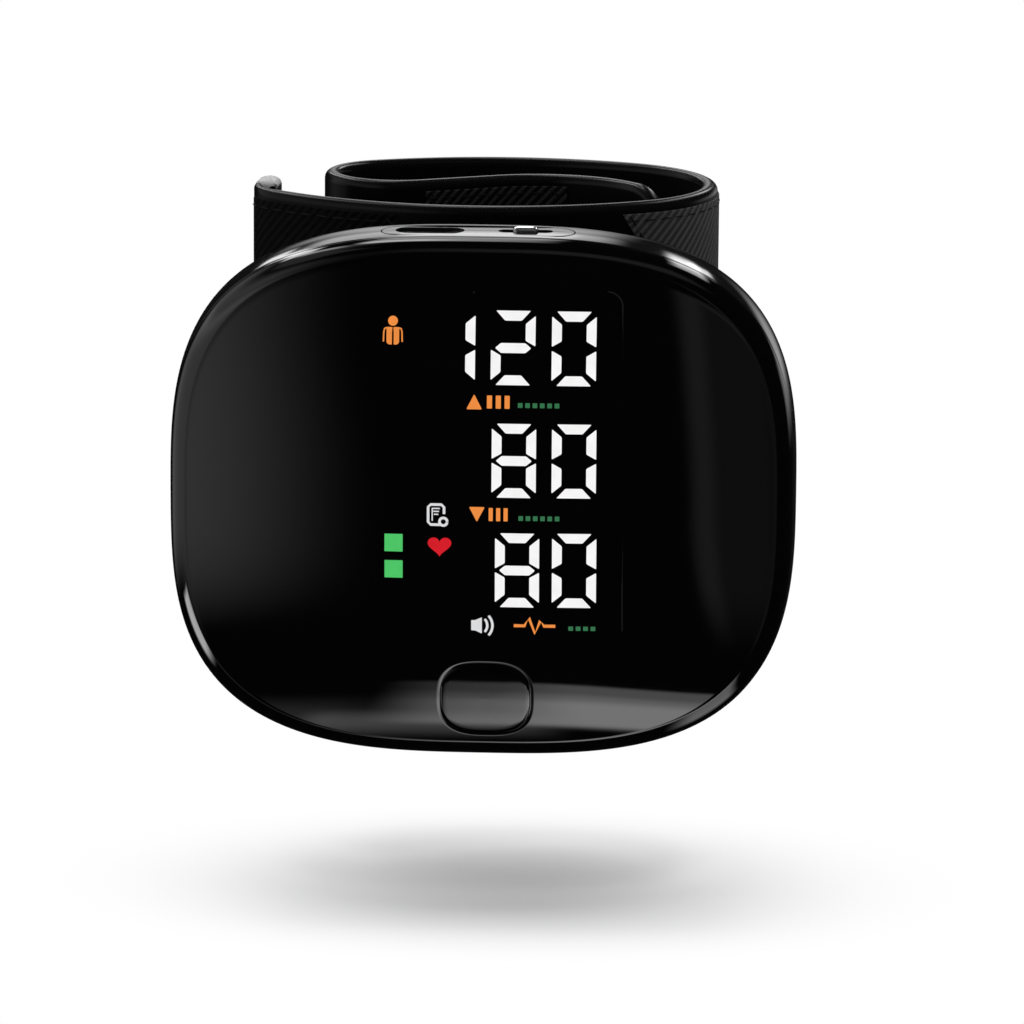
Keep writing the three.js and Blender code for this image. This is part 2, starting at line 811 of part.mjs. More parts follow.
// Display reflector: a frame with a light well behind every segment and sign
function displayReflector() {
  const back = reflectorFront + reflectorThickness;
  const frame = blockBetween(displayLeft, displayRight, reflectorFront, back, displayBottom, displayTop);
  const lowY = reflectorFront - overrun;
  const highY = back + overrun;
  const wells = [];
  const signSize = displayHeight * signSizeShare;
  const digitPitch = displayHeight * digitPitchShare;
  const lastDigitX = displayRight - displayHeight * lastDigitShare;
  const rowAt = (row) => displayBottom + displayHeight * (firstRowShare - row * rowPitchShare);
  for (let row = 0; row < displayRows; row += 1) {
    const digits = row === 0 ? firstRowDigits : otherRowDigits;
    for (let place = 0; place < digits; place += 1) {
      const names = place === leadingOnePlace ? oneSegments : allSegments;
      wells.push(...digitWells(lastDigitX - place * digitPitch, rowAt(row), names, lowY, highY));
    }
    const underRow = rowAt(row) - displayHeight * (digitHeightShare / 2 + signWindowHeightShare);
    wells.push(signWell(lastDigitX - displayHeight * signWindowShiftShare, underRow,
      displayHeight * signWindowLengthShare, displayHeight * signWindowHeightShare, lowY, highY));
  }
  const signX = displayLeft + signSize;
  const heartX = signX + signSize * signColumnShare;
  const lowRow = rowAt(displayRows - 1);
  const signPlaces = [
    [signX, rowAt(0) + signSize],
    [signX, lowRow + signSize * upperSquareShare],
    [signX, lowRow],
    [heartX, lowRow + signSize],
    [heartX, lowRow + signSize * sheetRiseShare],
  ];
  wells.push(...signPlaces.map(([x, z]) => signWell(x, z, signSize, signSize, lowY, highY)));
  return cutBy(frame, wells);
}

function signWell(x, z, width, height, lowY, highY) {
  return blockBetween(x - width / 2, x + width / 2, lowY, highY, z - height / 2, z + height / 2);
}

function displayBoard() {
  const front = reflectorFront + reflectorThickness + layerGap;
  return blockBetween(displayLeft, displayRight, front, front + displayBoardThickness,
    displayBottom, displayTop);
}

// Battery cell and the pad that sticks it to the board
function batteryCell() {
  const front = boardBack + padThickness + 2 * padGap;
  return plateAlongY(roundedShape(batteryWidth, batteryHeight, batteryCorner), front,
    front + batteryThickness, batteryX, batteryZ, coarseArcSegments);
}

function batteryPad() {
  const front = boardBack + padGap;
  return plateAlongY(roundedShape(batteryWidth * padShare, batteryHeight * padShare, batteryCorner), front,
    front + padThickness, batteryX, batteryZ, coarseArcSegments);
}

// Pump: can, rotor with its crank pin, diaphragm and head with the outlet
function pumpMotorCan() {
  const can = rodAlongZ(pumpRadius, canBottom, canTop, pumpX, pumpY, canSides);
  const bore = rodAlongZ(pumpRadius - pumpCanWall, canBottom + pumpCanWall, canTop - pumpCanWall,
    pumpX, pumpY, canSides);
  const shaftHole = rodAlongZ(shaftHoleRadius, canBottom - overrun, canBottom + overrun, pumpX, pumpY,
    screwSides);
  return cutBy(can, [bore, shaftHole]);
}

function pumpRotor() {
  const middle = (canBottom + canTop) / 2;
  const armature = rodAlongZ(armatureRadius, middle - armatureLength / 2, middle + armatureLength / 2,
    pumpX, pumpY);
  const slots = [];
  for (let index = 0; index < armatureSlots; index += 1) {
    const slot = new THREE.BoxGeometry(armatureRadius, armatureSlotWidth, armatureLength * 2);
    slot.translate(armatureRadius, 0, 0).rotateZ((2 * Math.PI * index) / armatureSlots);
    slots.push(solidOf(slot.translate(pumpX, pumpY, middle)));
  }
  const crankTop = pumpHeadTop - fitGap;
  const crankBottom = crankTop - crankThickness;
  const shaft = rodAlongZ(shaftRadius, crankBottom, canTop - pumpCanWall - fitGap, pumpX, pumpY, screwSides);
  const crank = rodAlongZ(crankRadius, crankBottom, crankTop, pumpX, pumpY);
  const pin = rodAlongZ(crankPinRadius, crankBottom - crankPinLength, crankTop,
    pumpX + crankPinReach, pumpY, barbSides);
  return joined([cutBy(armature, slots), shaft, crank, pin]);
}

function pumpHead() {
  const head = plateAlongZ(roundedShape(pumpHeadWidth, pumpHeadDepth, pumpHeadCorner),
    pumpHeadBottom, pumpHeadTop, pumpX, pumpY, coarseArcSegments);
  const chamber = rodAlongZ(pumpChamberRadius, pumpHeadTop - pumpChamberDepth, pumpHeadTop + overrun,
    pumpX, pumpY, drumSides);
  const headSide = pumpX - pumpHeadWidth / 2;
  const outletEnd = pumpX - pumpHeadWidth / 4;
  const outlet = rodAlongX(barbRadius, headSide - barbLength, outletEnd, pumpY, pumpOutletZ, barbSides);
  const bore = rodAlongX(barbBoreRadius, headSide - barbLength - overrun, outletEnd, pumpY, pumpOutletZ,
    holeSides);
  return cutBy(head.add(outlet), [chamber, bore]);
}

function pumpDiaphragm() {
  const bottom = pumpHeadTop - pumpChamberDepth + layerGap;
  const disc = rodAlongZ(pumpChamberRadius - layerGap, bottom, bottom + diaphragmThickness,
    pumpX, pumpY, drumSides);
  const cups = [];
  for (let index = 0; index < diaphragmCupCount; index += 1) {
    const angle = (2 * Math.PI * index) / diaphragmCupCount;
    const x = pumpX + Math.cos(angle) * diaphragmCupReach;
    const y = pumpY + Math.sin(angle) * diaphragmCupReach;
    cups.push(rodAlongZ(diaphragmCupRadius, bottom + diaphragmThickness - diaphragmCupDepth,
      bottom + diaphragmThickness + overrun, x, y, barbSides));
  }
  return cutBy(disc, cups);
}

// Valve: coil body with a bore, a plunger that comes out at the top, and its return spring
function valveBody() {
  const top = valveBottom + valveLength;
  const body = rodAlongZ(valveRadius, valveBottom, top, manifoldX, pumpY, drumSides);
  const barb = rodAlongZ(barbRadius, valveBottom - barbLength, valveBottom + valveWall,
    manifoldX, pumpY, barbSides);
  const bore = rodAlongZ(valveBoreRadius, valveFloor, top - valveWall, manifoldX, pumpY, drumSides);
  const mouth = rodAlongZ(plungerRadius + fitGap, top - valveWall - overrun, top + overrun, manifoldX, pumpY);
  const airWay = rodAlongZ(barbBoreRadius, valveBottom - barbLength - overrun, valveBottom + overrun,
    manifoldX, pumpY, holeSides);
  return cutBy(body.add(barb), [bore, mouth, airWay]);
}

function valvePlunger() {
  const top = valveBottom + valveLength + plungerProud;
  const rod = rodAlongZ(plungerRadius, collarBottom, top, manifoldX, pumpY);
  const collar = rodAlongZ(plungerCollarRadius, collarBottom, collarBottom + plungerCollarThickness,
    manifoldX, pumpY);
  return rod.add(collar);
}

// The return spring is wound wire with flat ends
function valveSpring() {
  const middleRadius = springRadius - springWire / 2;
  const rise = springLength - springWire;
  const steps = springTurns * springStepsPerTurn;
  const rings = [];
  for (let step = 0; step <= steps; step += 1) {
    const angle = (2 * Math.PI * step) / springStepsPerTurn;
    const out = [Math.cos(angle), Math.sin(angle)];
    const height = springFoot + springWire / 2 + rise * (step / steps);
    rings.push([[-1, -1], [1, -1], [1, 1], [-1, 1]].map(([side, level]) => {
      const reach = middleRadius + side * springWire / 2;
      return [manifoldX + out[0] * reach, pumpY + out[1] * reach, height + level * springWire / 2];
    }));
  }
  return loft([[centreOf(rings[0])], ...rings, [centreOf(rings.at(-1))]]);
}

// Pressure sensor on the board, its port in the manifold
function pressureSensor() {
  const middle = (sensorFront + sensorBack) / 2;
  const portEnd = sensorBack + sensorPortLength;
  const body = block(sensorSize, sensorThickness, sensorSize, manifoldX, middle, manifoldZ);
  const port = rodAlongY(sensorPortRadius, sensorFront, portEnd, manifoldX, manifoldZ, screwSides);
  const bore = rodAlongY(barbBoreRadius, sensorBack, portEnd + overrun, manifoldX, manifoldZ, holeSides);
  return port.add(body).subtract(bore);
}

// Air manifold: a small block with three barbs and a socket
function airManifold() {
  const half = manifoldSize / 2;
  const body = block(manifoldSize, manifoldSize, manifoldSize, manifoldX, pumpY, manifoldZ);
  const reach = half + barbLength;
  const upAndDown = rodAlongZ(barbRadius, manifoldZ - reach, manifoldZ + reach, manifoldX, pumpY, barbSides);
  const left = rodAlongX(barbRadius, manifoldX - reach, manifoldX, pumpY, manifoldZ, barbSides);
  const airWay = rodAlongZ(barbBoreRadius, manifoldZ - reach - overrun, manifoldZ + reach + overrun,
    manifoldX, pumpY, holeSides);
  const sideWay = rodAlongX(barbBoreRadius, manifoldX - reach - overrun, manifoldX, pumpY, manifoldZ,
    holeSides);
  const socket = rodAlongY(manifoldSocketRadius, pumpY - half - overrun, pumpY - half + manifoldSocketDepth,
    manifoldX, manifoldZ, screwSides);
  return cutBy(joined([body, upAndDown, left]), [airWay, sideWay, socket]);
}

// A hose with its bore along straight runs joined by round bends
function hose(corners, bend) {
  const path = new THREE.CurvePath();
  const points = corners.map((corner) => new THREE.Vector3(...corner));
  let from = points[0];
  for (let index = 1; index + 1 < points.length; index += 1) {
    const into = points[index].clone().sub(points[index - 1]).normalize();
    const out = points[index + 1].clone().sub(points[index]).normalize();
    const bendStart = points[index].clone().addScaledVector(into, -bend);
    const bendEnd = points[index].clone().addScaledVector(out, bend);
    path.add(new THREE.LineCurve3(from, bendStart));
    path.add(new THREE.QuadraticBezierCurve3(bendStart, points[index], bendEnd));
    from = bendEnd;
  }
  path.add(new THREE.LineCurve3(from, points.at(-1)));
  return sweptTube(path, hoseSteps);
}

function sweptTube(path, steps) {
  const outer = circleShape(hoseRadius);
  const inner = circleShape(hoseBoreRadius);
  const settings = { steps, bevelEnabled: false, extrudePath: path, curveSegments: hoseSides };
  const tube = solidOf(new THREE.ExtrudeGeometry(outer, settings));
  const bore = solidOf(new THREE.ExtrudeGeometry(inner, settings));
  return { tube, bore };
}

function circleShape(radius) {
  const points = [];
  for (let side = 0; side < hoseSides; side += 1) {
    const angle = (2 * Math.PI * side) / hoseSides;
    points.push(new THREE.Vector2(Math.cos(angle) * radius, Math.sin(angle) * radius));
  }
  return new THREE.Shape(points);
}

function openHose(corners, bend, endTools) {
  const { tube, bore } = hose(corners, bend);
  return cutBy(tube, [bore, ...endTools]);
}

function hoseFromPump() {
  const start = pumpX - pumpHeadWidth / 2 - fitGap;
  const end = manifoldZ - manifoldSize / 2 - fitGap;
  const corners = [[start, pumpY, pumpOutletZ], [manifoldX, pumpY, pumpOutletZ], [manifoldX, pumpY, end]];
  const mouths = [
    rodAlongX(hoseBoreRadius, start - fitGap, start + fitGap, pumpY, pumpOutletZ, hoseSides),
    rodAlongZ(hoseBoreRadius, end - fitGap, end + fitGap, manifoldX, pumpY, hoseSides),
  ];
  return openHose(corners, hoseBend, mouths);
}

function hoseToValve() {
  const start = manifoldZ + manifoldSize / 2 + fitGap;
  const end = valveBottom - fitGap;
  const tube = rodAlongZ(hoseRadius, start, end, manifoldX, pumpY, hoseSides);
  const bore = rodAlongZ(hoseBoreRadius, start - overrun, end + overrun, manifoldX, pumpY, hoseSides);
  return tube.subtract(bore);
}

function hoseToCuff() {
  const start = manifoldX - manifoldSize / 2 - fitGap;
  const end = nippleInnerEnd + hoseOverNipple;
  const corners = [[start, pumpY, manifoldZ], [cuffCentreX, pumpY, manifoldZ], [cuffCentreX, end, manifoldZ]];
  const mouths = [
    rodAlongX(hoseBoreRadius, start - fitGap, start + fitGap, pumpY, manifoldZ, hoseSides),
    rodAlongY(hoseBoreRadius, end - fitGap, end + fitGap, cuffCentreX, manifoldZ, hoseSides),
  ];
  return openHose(corners, hoseBend, mouths);
}

// Speaker: basket with a rim, cone in front of the grille
function speakerBasket() {
  const front = speakerBack - speakerThickness;
  const basket = rodAlongY(speakerRadius, front, speakerBack, speakerX, speakerZ, canSides);
  const bowl = rodAlongY(speakerRadius - speakerRim, speakerBack - coneDepth - coneThickness - fitGap,
    speakerBack + overrun, speakerX, speakerZ, canSides);
  return basket.subtract(bowl);
}

function speakerCone() {
  const radius = speakerRadius - speakerRim - layerGap;
  const front = speakerBack - coneDepth - coneThickness;
  const profile = [
    [0, front],
    [radius * coneFloorFrontShare, front],
    [radius, speakerBack - coneThickness],
    [radius, speakerBack],
    [radius * coneFloorBackShare, front + coneThickness],
    [0, front + coneThickness],
  ];
  const points = profile.map(([reach, depth]) => new THREE.Vector2(reach, depth));
  return solidOf(new THREE.LatheGeometry(points, canSides).translate(speakerX, 0, speakerZ));
}

function screwAlongY(headFront, headThickness, headRadius, tip, x, z) {
  const head = rodAlongY(headRadius, headFront, headFront + headThickness, x, z);
  return head.add(rodAlongY(screwShankRadius, tip, headFront + headThickness / 2, x, z, barbSides));
}

// The band's path in plan, counted along its outer face from the middle of the saddle
const stepsForward = [
  { radius: nearRadius, sweep: nearSweep },
  { radius: rightTurnRadius, sweep: rightTurnSweep },
  { radius: farRadius, sweep: farSweep },
  { radius: leftTurnRadius, sweep: leftTurnSweep },
  { straight: innerStraight },
  { radius: -innerRadius, sweep: innerSweep },
  { straight: endStraight },
];
const stepsBackward = [
  { radius: nearRadius, sweep: tabSweep },
  { straight: tabStraight },
  { radius: tabTurnRadius, sweep: tabTurnSweep },
  { straight: hemStraight },
  { radius: hemRadius, sweep: hemSweep },
  { straight: hemReturn },
];

// Stations hold the place, the heading and the length along the band; sense is -1 for the way back.
function walk(steps, sense) {
  let { x, y, heading, length } = { x: cuffCentreX, y: bandFront, heading: 0, length: 0 };
  const stations = [{ x, y, heading, length }];
  for (const step of steps) {
    const count = step.sweep ? Math.ceil(step.sweep / bandStepAngle) : 1;
    for (let index = 0; index < count; index += 1) {
      if (step.sweep) {
        const turn = sense * Math.sign(step.radius) * radians(step.sweep / count);
        const centreX = x - Math.sin(heading) * step.radius;
        const centreY = y + Math.cos(heading) * step.radius;
        heading += turn;
        x = centreX + Math.sin(heading) * step.radius;
        y = centreY - Math.cos(heading) * step.radius;
        length += sense * Math.abs(turn * step.radius);
      } else {
        x += sense * Math.cos(heading) * step.straight;
        y += sense * Math.sin(heading) * step.straight;
        length += sense * step.straight;
      }
      stations.push({ x, y, heading, length });
    }
  }
  return stations;
}

const forwardStations = walk(stepsForward, 1);
const backwardStations = walk(stepsBackward, -1);
const bandStations = [...backwardStations.slice(1).toReversed(), ...forwardStations];

// The origin lies under the middle of the whole part: half its depth behind the display.
const fabricRise = layerGap + fabricThickness;
const partDepth = Math.max(...forwardStations.map(({ y, heading }) => y - Math.cos(heading) * fabricRise));

function arcLength(step) {
  return step.sweep ? Math.abs(step.radius) * radians(step.sweep) : step.straight;
}

function lengthAfter(steps, count) {
  return steps.slice(0, count).reduce((sum, step) => sum + arcLength(step), 0);
}

// The two hinge lines lie where the band heads straight back and straight forward again.
const rightHingeLength = lengthAfter(stepsForward, 1) + rightTurnRadius * radians(90 - nearSweep);
const headingAfterFar = nearSweep + rightTurnSweep + farSweep;
const leftHingeLength = lengthAfter(stepsForward, 3) + leftTurnRadius * radians(270 - headingAfterFar);
const bandEndLength = lengthAfter(stepsForward, stepsForward.length);
const tabEndLength = -lengthAfter(stepsBackward, 2);
const hemEndLength = -lengthAfter(stepsBackward, stepsBackward.length);

function stationAt(length) {
  const upper = bandStations.findIndex((station) => station.length >= length - weldTolerance);
  const high = bandStations[Math.max(upper, 1)];
  const low = bandStations[Math.max(upper, 1) - 1];
  const share = (length - low.length) / (high.length - low.length);
  const mix = (name) => low[name] + (high[name] - low[name]) * share;
  return { x: mix('x'), y: mix('y'), heading: mix('heading'), length };
}

function stationsBetween(from, to, extra = []) {
  const isBetween = ({ length }) => length > from + layerGap && length < to - layerGap;
  const inner = bandStations.filter(isBetween);
  const ends = [from, to, ...extra].map((length) => stationAt(length));
  return [...inner, ...ends].sort((a, b) => a.length - b.length);
}

// A stretch of the band between two depths below its outer face; the corners at the free end are round.
function bandSolid(from, to, outerOffset, innerOffset, margin, corner = 0) {
  const angles = corner > 0 ? cornerAngles : [];
  const cornerLengths = angles.map((angle) => to - corner + corner * Math.cos(radians(angle)));
  const stations = stationsBetween(from, to, cornerLengths);
  const rings = stations.map((station) => {
    const beyond = Math.max(0, station.length - (to - corner));
    const lift = corner > 0 ? corner - Math.sqrt(Math.max(0, corner ** 2 - beyond ** 2)) : 0;
    return sectionRing(station, outerOffset, innerOffset, margin + lift, cuffWidth - margin - lift);
  });
  return loft([[centreOf(rings[0])], ...rings, [centreOf(rings.at(-1))]]);
}

function sectionRing(station, outerOffset, innerOffset, lowZ, highZ) {
  const inward = [-Math.sin(station.heading), Math.cos(station.heading)];
  const at = (offset, z) => [station.x + inward[0] * offset, station.y + inward[1] * offset, z];
  return [at(outerOffset, lowZ), at(innerOffset, lowZ), at(innerOffset, highZ), at(outerOffset, highZ)];
}

function centreOf(ring) {
  return [0, 1, 2].map((axis) => ring.reduce((sum, point) => sum + point[axis], 0) / ring.length);
}

const panels = {
  near: {
    from: tabEndLength,
    to: rightHingeLength - hingeGap / 2,
    startRim: coverRim,
    endRim: 0,
    corner: 0,
  },
  wrap: {
    from: rightHingeLength + hingeGap / 2,
    to: leftHingeLength - hingeGap / 2,
    startRim: 0,
    endRim: 0,
    corner: 0,
  },
  tail: {
    from: leftHingeLength + hingeGap / 2,
    to: bandEndLength,
    startRim: 0,
    endRim: coverRim,
    corner: endCornerRadius,
  },
};

// Cover: the smooth outer wall with a full-depth rim at its edges, a pocket for the other layers between
function panelCover({ from, to, startRim, endRim, corner }) {
  const pocketStart = startRim > 0 ? from + startRim : from - fitGap;
  const pocketEnd = endRim > 0 ? to - endRim : to + fitGap;
  const band = bandSolid(from, to, 0, bandThickness, 0, corner);
  const pocketCorner = Math.max(0, corner - endRim);
  const pocket = bandSolid(pocketStart, pocketEnd, coverWall, bandThickness * 2, coverRim, pocketCorner);
  return band.subtract(pocket);
}

// A layer keeps one margin from the cuff's edges; it runs right up to a hinge line.
function panelLayer({ from, to, startRim, endRim, corner }, outerOffset, thickness, margin) {
  const start = startRim > 0 ? from + margin : from;
  const end = endRim > 0 ? to - margin : to;
  return bandSolid(start, end, outerOffset, outerOffset + thickness, margin, Math.max(0, corner - margin));
}

// The hatched fabric lies outside the hinge lines, so it stops short of them.
function panelFabric({ from, to, startRim, endRim, corner }) {
  const panel = {
    from: startRim > 0 ? from : from + fabricHingeMargin,
    to: endRim > 0 ? to : to - fabricHingeMargin,
    startRim,
    endRim,
    corner,
  };
  return panelLayer(panel, -layerGap - fabricThickness, fabricThickness, fabricMargin);
}

function panelCurler(panel) {
  return panelLayer(panel, curlerOffset, curlerThickness, layerMargin);
}

function panelBladder({ from, to }) {
  return bandSolid(from + bladderMargin, to - bladderMargin, bladderOffset, bladderOffset + bladderThickness,
    bladderMargin);
}

function panelLining(panel) {
  return panelLayer(panel, liningOffset, bandThickness - liningOffset, layerMargin);
}

function hemLoop() {
  return bandSolid(hemEndLength, tabEndLength - fitGap, 0, hemThickness, 0);
}

// Holes through the near panel's layers for the two saddle screws and the nipple
function screwWays(radius) {
  return saddleScrewPlaces.map(({ x, z }) => (
    rodAlongY(radius, backDepth, bandFront + bandThickness, x, z, screwSides)
  ));
}

function nearCover() {
  const ways = [...screwWays(pilotRadius), nippleHole(backDepth, bandFront + bandThickness)];
  return cutBy(panelCover(panels.near), ways);
}

function nearFabric() {
  const ways = [...screwWays(pilotRadius), nippleHole(backDepth, bandFront + bandThickness)];
  return cutBy(panelFabric(panels.near), ways);
}

function nearCurler() {
  const flangeWay = rodAlongY(nippleFlangeRadius + fitGap, backDepth, bandFront + bandThickness,
    cuffCentreX, halfHeight);
  return cutBy(panelCurler(panels.near), [...screwWays(saddleScrewHeadRadius + fitGap), flangeWay]);
}

// Saddle: flat against the case, hollowed to the band's curve
function saddle() {
  const thickest = saddleFront + saddleWidth / 2;
  const plate = plateAlongY(roundedShape(saddleWidth, saddleHeight, saddleCorner), saddleFront, thickest,
    cuffCentreX, halfHeight, coarseArcSegments);
  const hollowRadius = nearRadius + bandFront - fabricFront + fitGap;
  const hollow = rodAlongZ(hollowRadius, -overrun, housingHeight + overrun, cuffCentreX,
    bandFront + nearRadius, hollowSides);
  return cutBy(plate.subtract(hollow), [...screwWays(pilotRadius), nippleHole(backDepth, thickest)]);
}

// Nipple: carries air from the hose through the case, the saddle and the cover to the bladder
function cuffNipple() {
  const flangeBack = bandFront + bladderOffset - layerGap - layerGap / 2;
  const flange = rodAlongY(nippleFlangeRadius, flangeBack - nippleFlangeThickness, flangeBack,
    cuffCentreX, halfHeight);
  const sleeve = rodAlongY(nippleRadius, nippleInnerEnd + hoseOverNipple + fitGap * 2, flangeBack,
    cuffCentreX, halfHeight);
  const barb = rodAlongY(barbRadius, nippleInnerEnd, flangeBack, cuffCentreX, halfHeight, barbSides);
  const bore = rodAlongY(barbBoreRadius, nippleInnerEnd - overrun, flangeBack + overrun,
    cuffCentreX, halfHeight, holeSides);
  return joined([flange, sleeve, barb]).subtract(bore);
}

function saddleScrew({ x, z }) {
  const headFront = bandFront + curlerOffset + layerGap / 2;
  const tip = saddleBossEnd + 2 * fitGap;
  return screwAlongY(headFront, saddleScrewHeadThickness, saddleScrewHeadRadius, tip, x, z);
}

// Materials and assembly

function finish(color, roughness, metalness = 0) {
  return () => new THREE.MeshStandardMaterial({ color, roughness, metalness });
}

const glossBlack = finish(0x050506, 0.08);
const caseBlack = finish(0x0b0b0d, 0.16);
const satinBlack = finish(0x111113, 0.4);
const bandBlack = finish(0x0c0c0d, 0.3);
const fabricBlack = finish(0x1b1b1d, 0.75);
const brightSteel = finish(0xc9cbcd, 0.25, 1);
const screwSteel = finish(0x3a3b3d, 0.35, 1);
const boardGreen = finish(0x14402c, 0.5);
const reflectorWhite = finish(0xe8e8e4, 0.6);
const rubberClear = finish(0xd8d6cf, 0.45);
const cellSilver = finish(0x9aa0a6, 0.4, 0.6);
const mouldedGrey = finish(0x55585c, 0.5);

const monitor = new THREE.Group();
monitor.name = 'wrist_monitor';

function addPiece(name, solid, makeMaterial, group) {
  const mesh = new THREE.Mesh(geometryOf(solid), makeMaterial());
  mesh.name = name;
  group.add(mesh);
}

function addHousing() {
  const housing = new THREE.Group();
  addPiece('front_cover', frontCover(), glossBlack, housing);
  addPiece('start_button', startButton(), glossBlack, housing);
  addPiece('rear_case', rearCase(), caseBlack, housing);
  addPiece('control_plate', controlPlate(), satinBlack, housing);
  addPiece('usb_shell', portShell(), brightSteel, housing);
  addPiece('usb_tongue', portTongue(), satinBlack, housing);
  addPiece('slide_switch_body', slideSwitchBody(), mouldedGrey, housing);
  addPiece('slide_switch_knob', slideSwitchKnob(), brightSteel, housing);
  postPlaces.forEach(({ x, z }, index) => {
    const headFront = screwSeatDepth + fitGap / 2;
    const screw = screwAlongY(headFront, screwHeadThickness, screwHeadRadius, screwTipDepth, x, z);
    addPiece(`case_screw_${index + 1}`, screw, screwSteel, housing);
  });
  monitor.add(housing);
}

function addElectronics() {
  const electronics = new THREE.Group();
  addPiece('main_board', mainBoard(), boardGreen, electronics);
  addPiece('tact_switch', tactSwitch(), mouldedGrey, electronics);
  addPiece('display_reflector', displayReflector(), reflectorWhite, electronics);
  addPiece('display_board', displayBoard(), boardGreen, electronics);
  addPiece('battery_cell', batteryCell(), cellSilver, electronics);
  addPiece('battery_pad', batteryPad(), satinBlack, electronics);
  addPiece('speaker_basket', speakerBasket(), mouldedGrey, electronics);
  addPiece('speaker_cone', speakerCone(), satinBlack, electronics);
  addPiece('pressure_sensor', pressureSensor(), mouldedGrey, electronics);
  monitor.add(electronics);
}

function addAirSystem() {
  const air = new THREE.Group();
  addPiece('pump_motor_can', pumpMotorCan(), brightSteel, air);
  addPiece('pump_rotor', pumpRotor(), screwSteel, air);
  addPiece('pump_head', pumpHead(), satinBlack, air);
  addPiece('pump_diaphragm', pumpDiaphragm(), rubberClear, air);
  addPiece('valve_body', valveBody(), brightSteel, air);
  addPiece('valve_plunger', valvePlunger(), screwSteel, air);
  addPiece('valve_spring', valveSpring(), brightSteel, air);
  addPiece('air_manifold', airManifold(), mouldedGrey, air);
  addPiece('hose_from_pump', hoseFromPump(), rubberClear, air);
  addPiece('hose_to_valve', hoseToValve(), rubberClear, air);
  addPiece('hose_to_cuff', hoseToCuff(), rubberClear, air);
  monitor.add(air);
}

function addCuff() {
  const cuff = new THREE.Group();
  addPiece('saddle', saddle(), satinBlack, cuff);
  saddleScrewPlaces.forEach((place, index) => {
    addPiece(`saddle_screw_${index + 1}`, saddleScrew(place), screwSteel, cuff);
  });
  addPiece('cuff_nipple', cuffNipple(), mouldedGrey, cuff);
  addPiece('cuff_hem_loop', hemLoop(), bandBlack, cuff);
  addPiece('near_cover', nearCover(), bandBlack, cuff);
  addPiece('near_fabric', nearFabric(), fabricBlack, cuff);
  addPiece('near_curler', nearCurler(), mouldedGrey, cuff);
  addPiece('near_bladder', panelBladder(panels.near), rubberClear, cuff);
  addPiece('near_lining', panelLining(panels.near), fabricBlack, cuff);
  addPiece('wrap_cover', panelCover(panels.wrap), bandBlack, cuff);
  addPiece('wrap_fabric', panelFabric(panels.wrap), fabricBlack, cuff);
  addPiece('wrap_curler', panelCurler(panels.wrap), mouldedGrey, cuff);
  addPiece('wrap_bladder', panelBladder(panels.wrap), rubberClear, cuff);
  addPiece('wrap_lining', panelLining(panels.wrap), fabricBlack, cuff);
  addPiece('tail_cover', panelCover(panels.tail), bandBlack, cuff);
  addPiece('tail_fabric', panelFabric(panels.tail), fabricBlack, cuff);
  addPiece('tail_curler', panelCurler(panels.tail), mouldedGrey, cuff);
  addPiece('tail_lining', panelLining(panels.tail), fabricBlack, cuff);
  monitor.add(cuff);
}

monitor.position.y = -partDepth / 2;
addHousing();
addElectronics();
addAirSystem();
addCuff();

export default monitor;
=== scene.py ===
import math

import bmesh
import bpy
import numpy as np
from mathutils import Matrix, Vector


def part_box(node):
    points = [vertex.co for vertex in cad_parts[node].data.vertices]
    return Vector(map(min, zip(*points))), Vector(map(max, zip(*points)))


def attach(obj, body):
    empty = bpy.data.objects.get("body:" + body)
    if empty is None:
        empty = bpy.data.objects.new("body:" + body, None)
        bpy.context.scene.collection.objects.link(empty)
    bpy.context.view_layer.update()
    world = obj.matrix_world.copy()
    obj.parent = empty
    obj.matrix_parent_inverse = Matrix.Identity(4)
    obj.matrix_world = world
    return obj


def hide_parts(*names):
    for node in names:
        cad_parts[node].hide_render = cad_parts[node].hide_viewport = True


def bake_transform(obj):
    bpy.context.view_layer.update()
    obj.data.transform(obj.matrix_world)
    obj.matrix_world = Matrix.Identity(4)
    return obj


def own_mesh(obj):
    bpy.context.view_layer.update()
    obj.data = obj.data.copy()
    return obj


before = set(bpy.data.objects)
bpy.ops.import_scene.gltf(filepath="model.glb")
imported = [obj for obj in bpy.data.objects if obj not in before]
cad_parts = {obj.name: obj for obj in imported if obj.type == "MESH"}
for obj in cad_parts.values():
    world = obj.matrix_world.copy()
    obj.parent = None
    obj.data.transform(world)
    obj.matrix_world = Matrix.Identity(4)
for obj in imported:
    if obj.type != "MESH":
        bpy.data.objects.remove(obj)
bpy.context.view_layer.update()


# ---------------- rear case
# The back half of the housing: one deep shell moulded in black ABS and polished, with a crowned side that
# rolls over into a flat back. Four screws hold it to the front cover. The speaker's holes are in its back.
MM = 0.001
HALF_DEPTH = -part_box("front_cover")[0][1] / MM
HALF_WIDTH, HALF_HEIGHT = 42.5, 36.0
TOP = 2 * HALF_HEIGHT
OUTLINE_POWER = 3.05
DOME_DEPTH, DOME_POWER = 3.4, 2.5
BEVEL_RADIUS, BEVEL_START, BEVEL_END = 3.0, math.radians(9), math.radians(75)
SEAM_INSET, SEAM_GAP = 0.42, 0.25
FACE_INSET = SEAM_INSET + BEVEL_RADIUS * (math.cos(BEVEL_START) - math.cos(BEVEL_END))
SEAM_DEPTH = DOME_DEPTH + BEVEL_RADIUS * (math.sin(BEVEL_END) - math.sin(BEVEL_START))
CASE_FRONT = SEAM_DEPTH + SEAM_GAP
CREST, BACK, BACK_INSET, CASE_WALL = 12.0, 24.6, 14.0, 1.8
SIDE_POWER, BACK_POWER = 2.2, 2.4


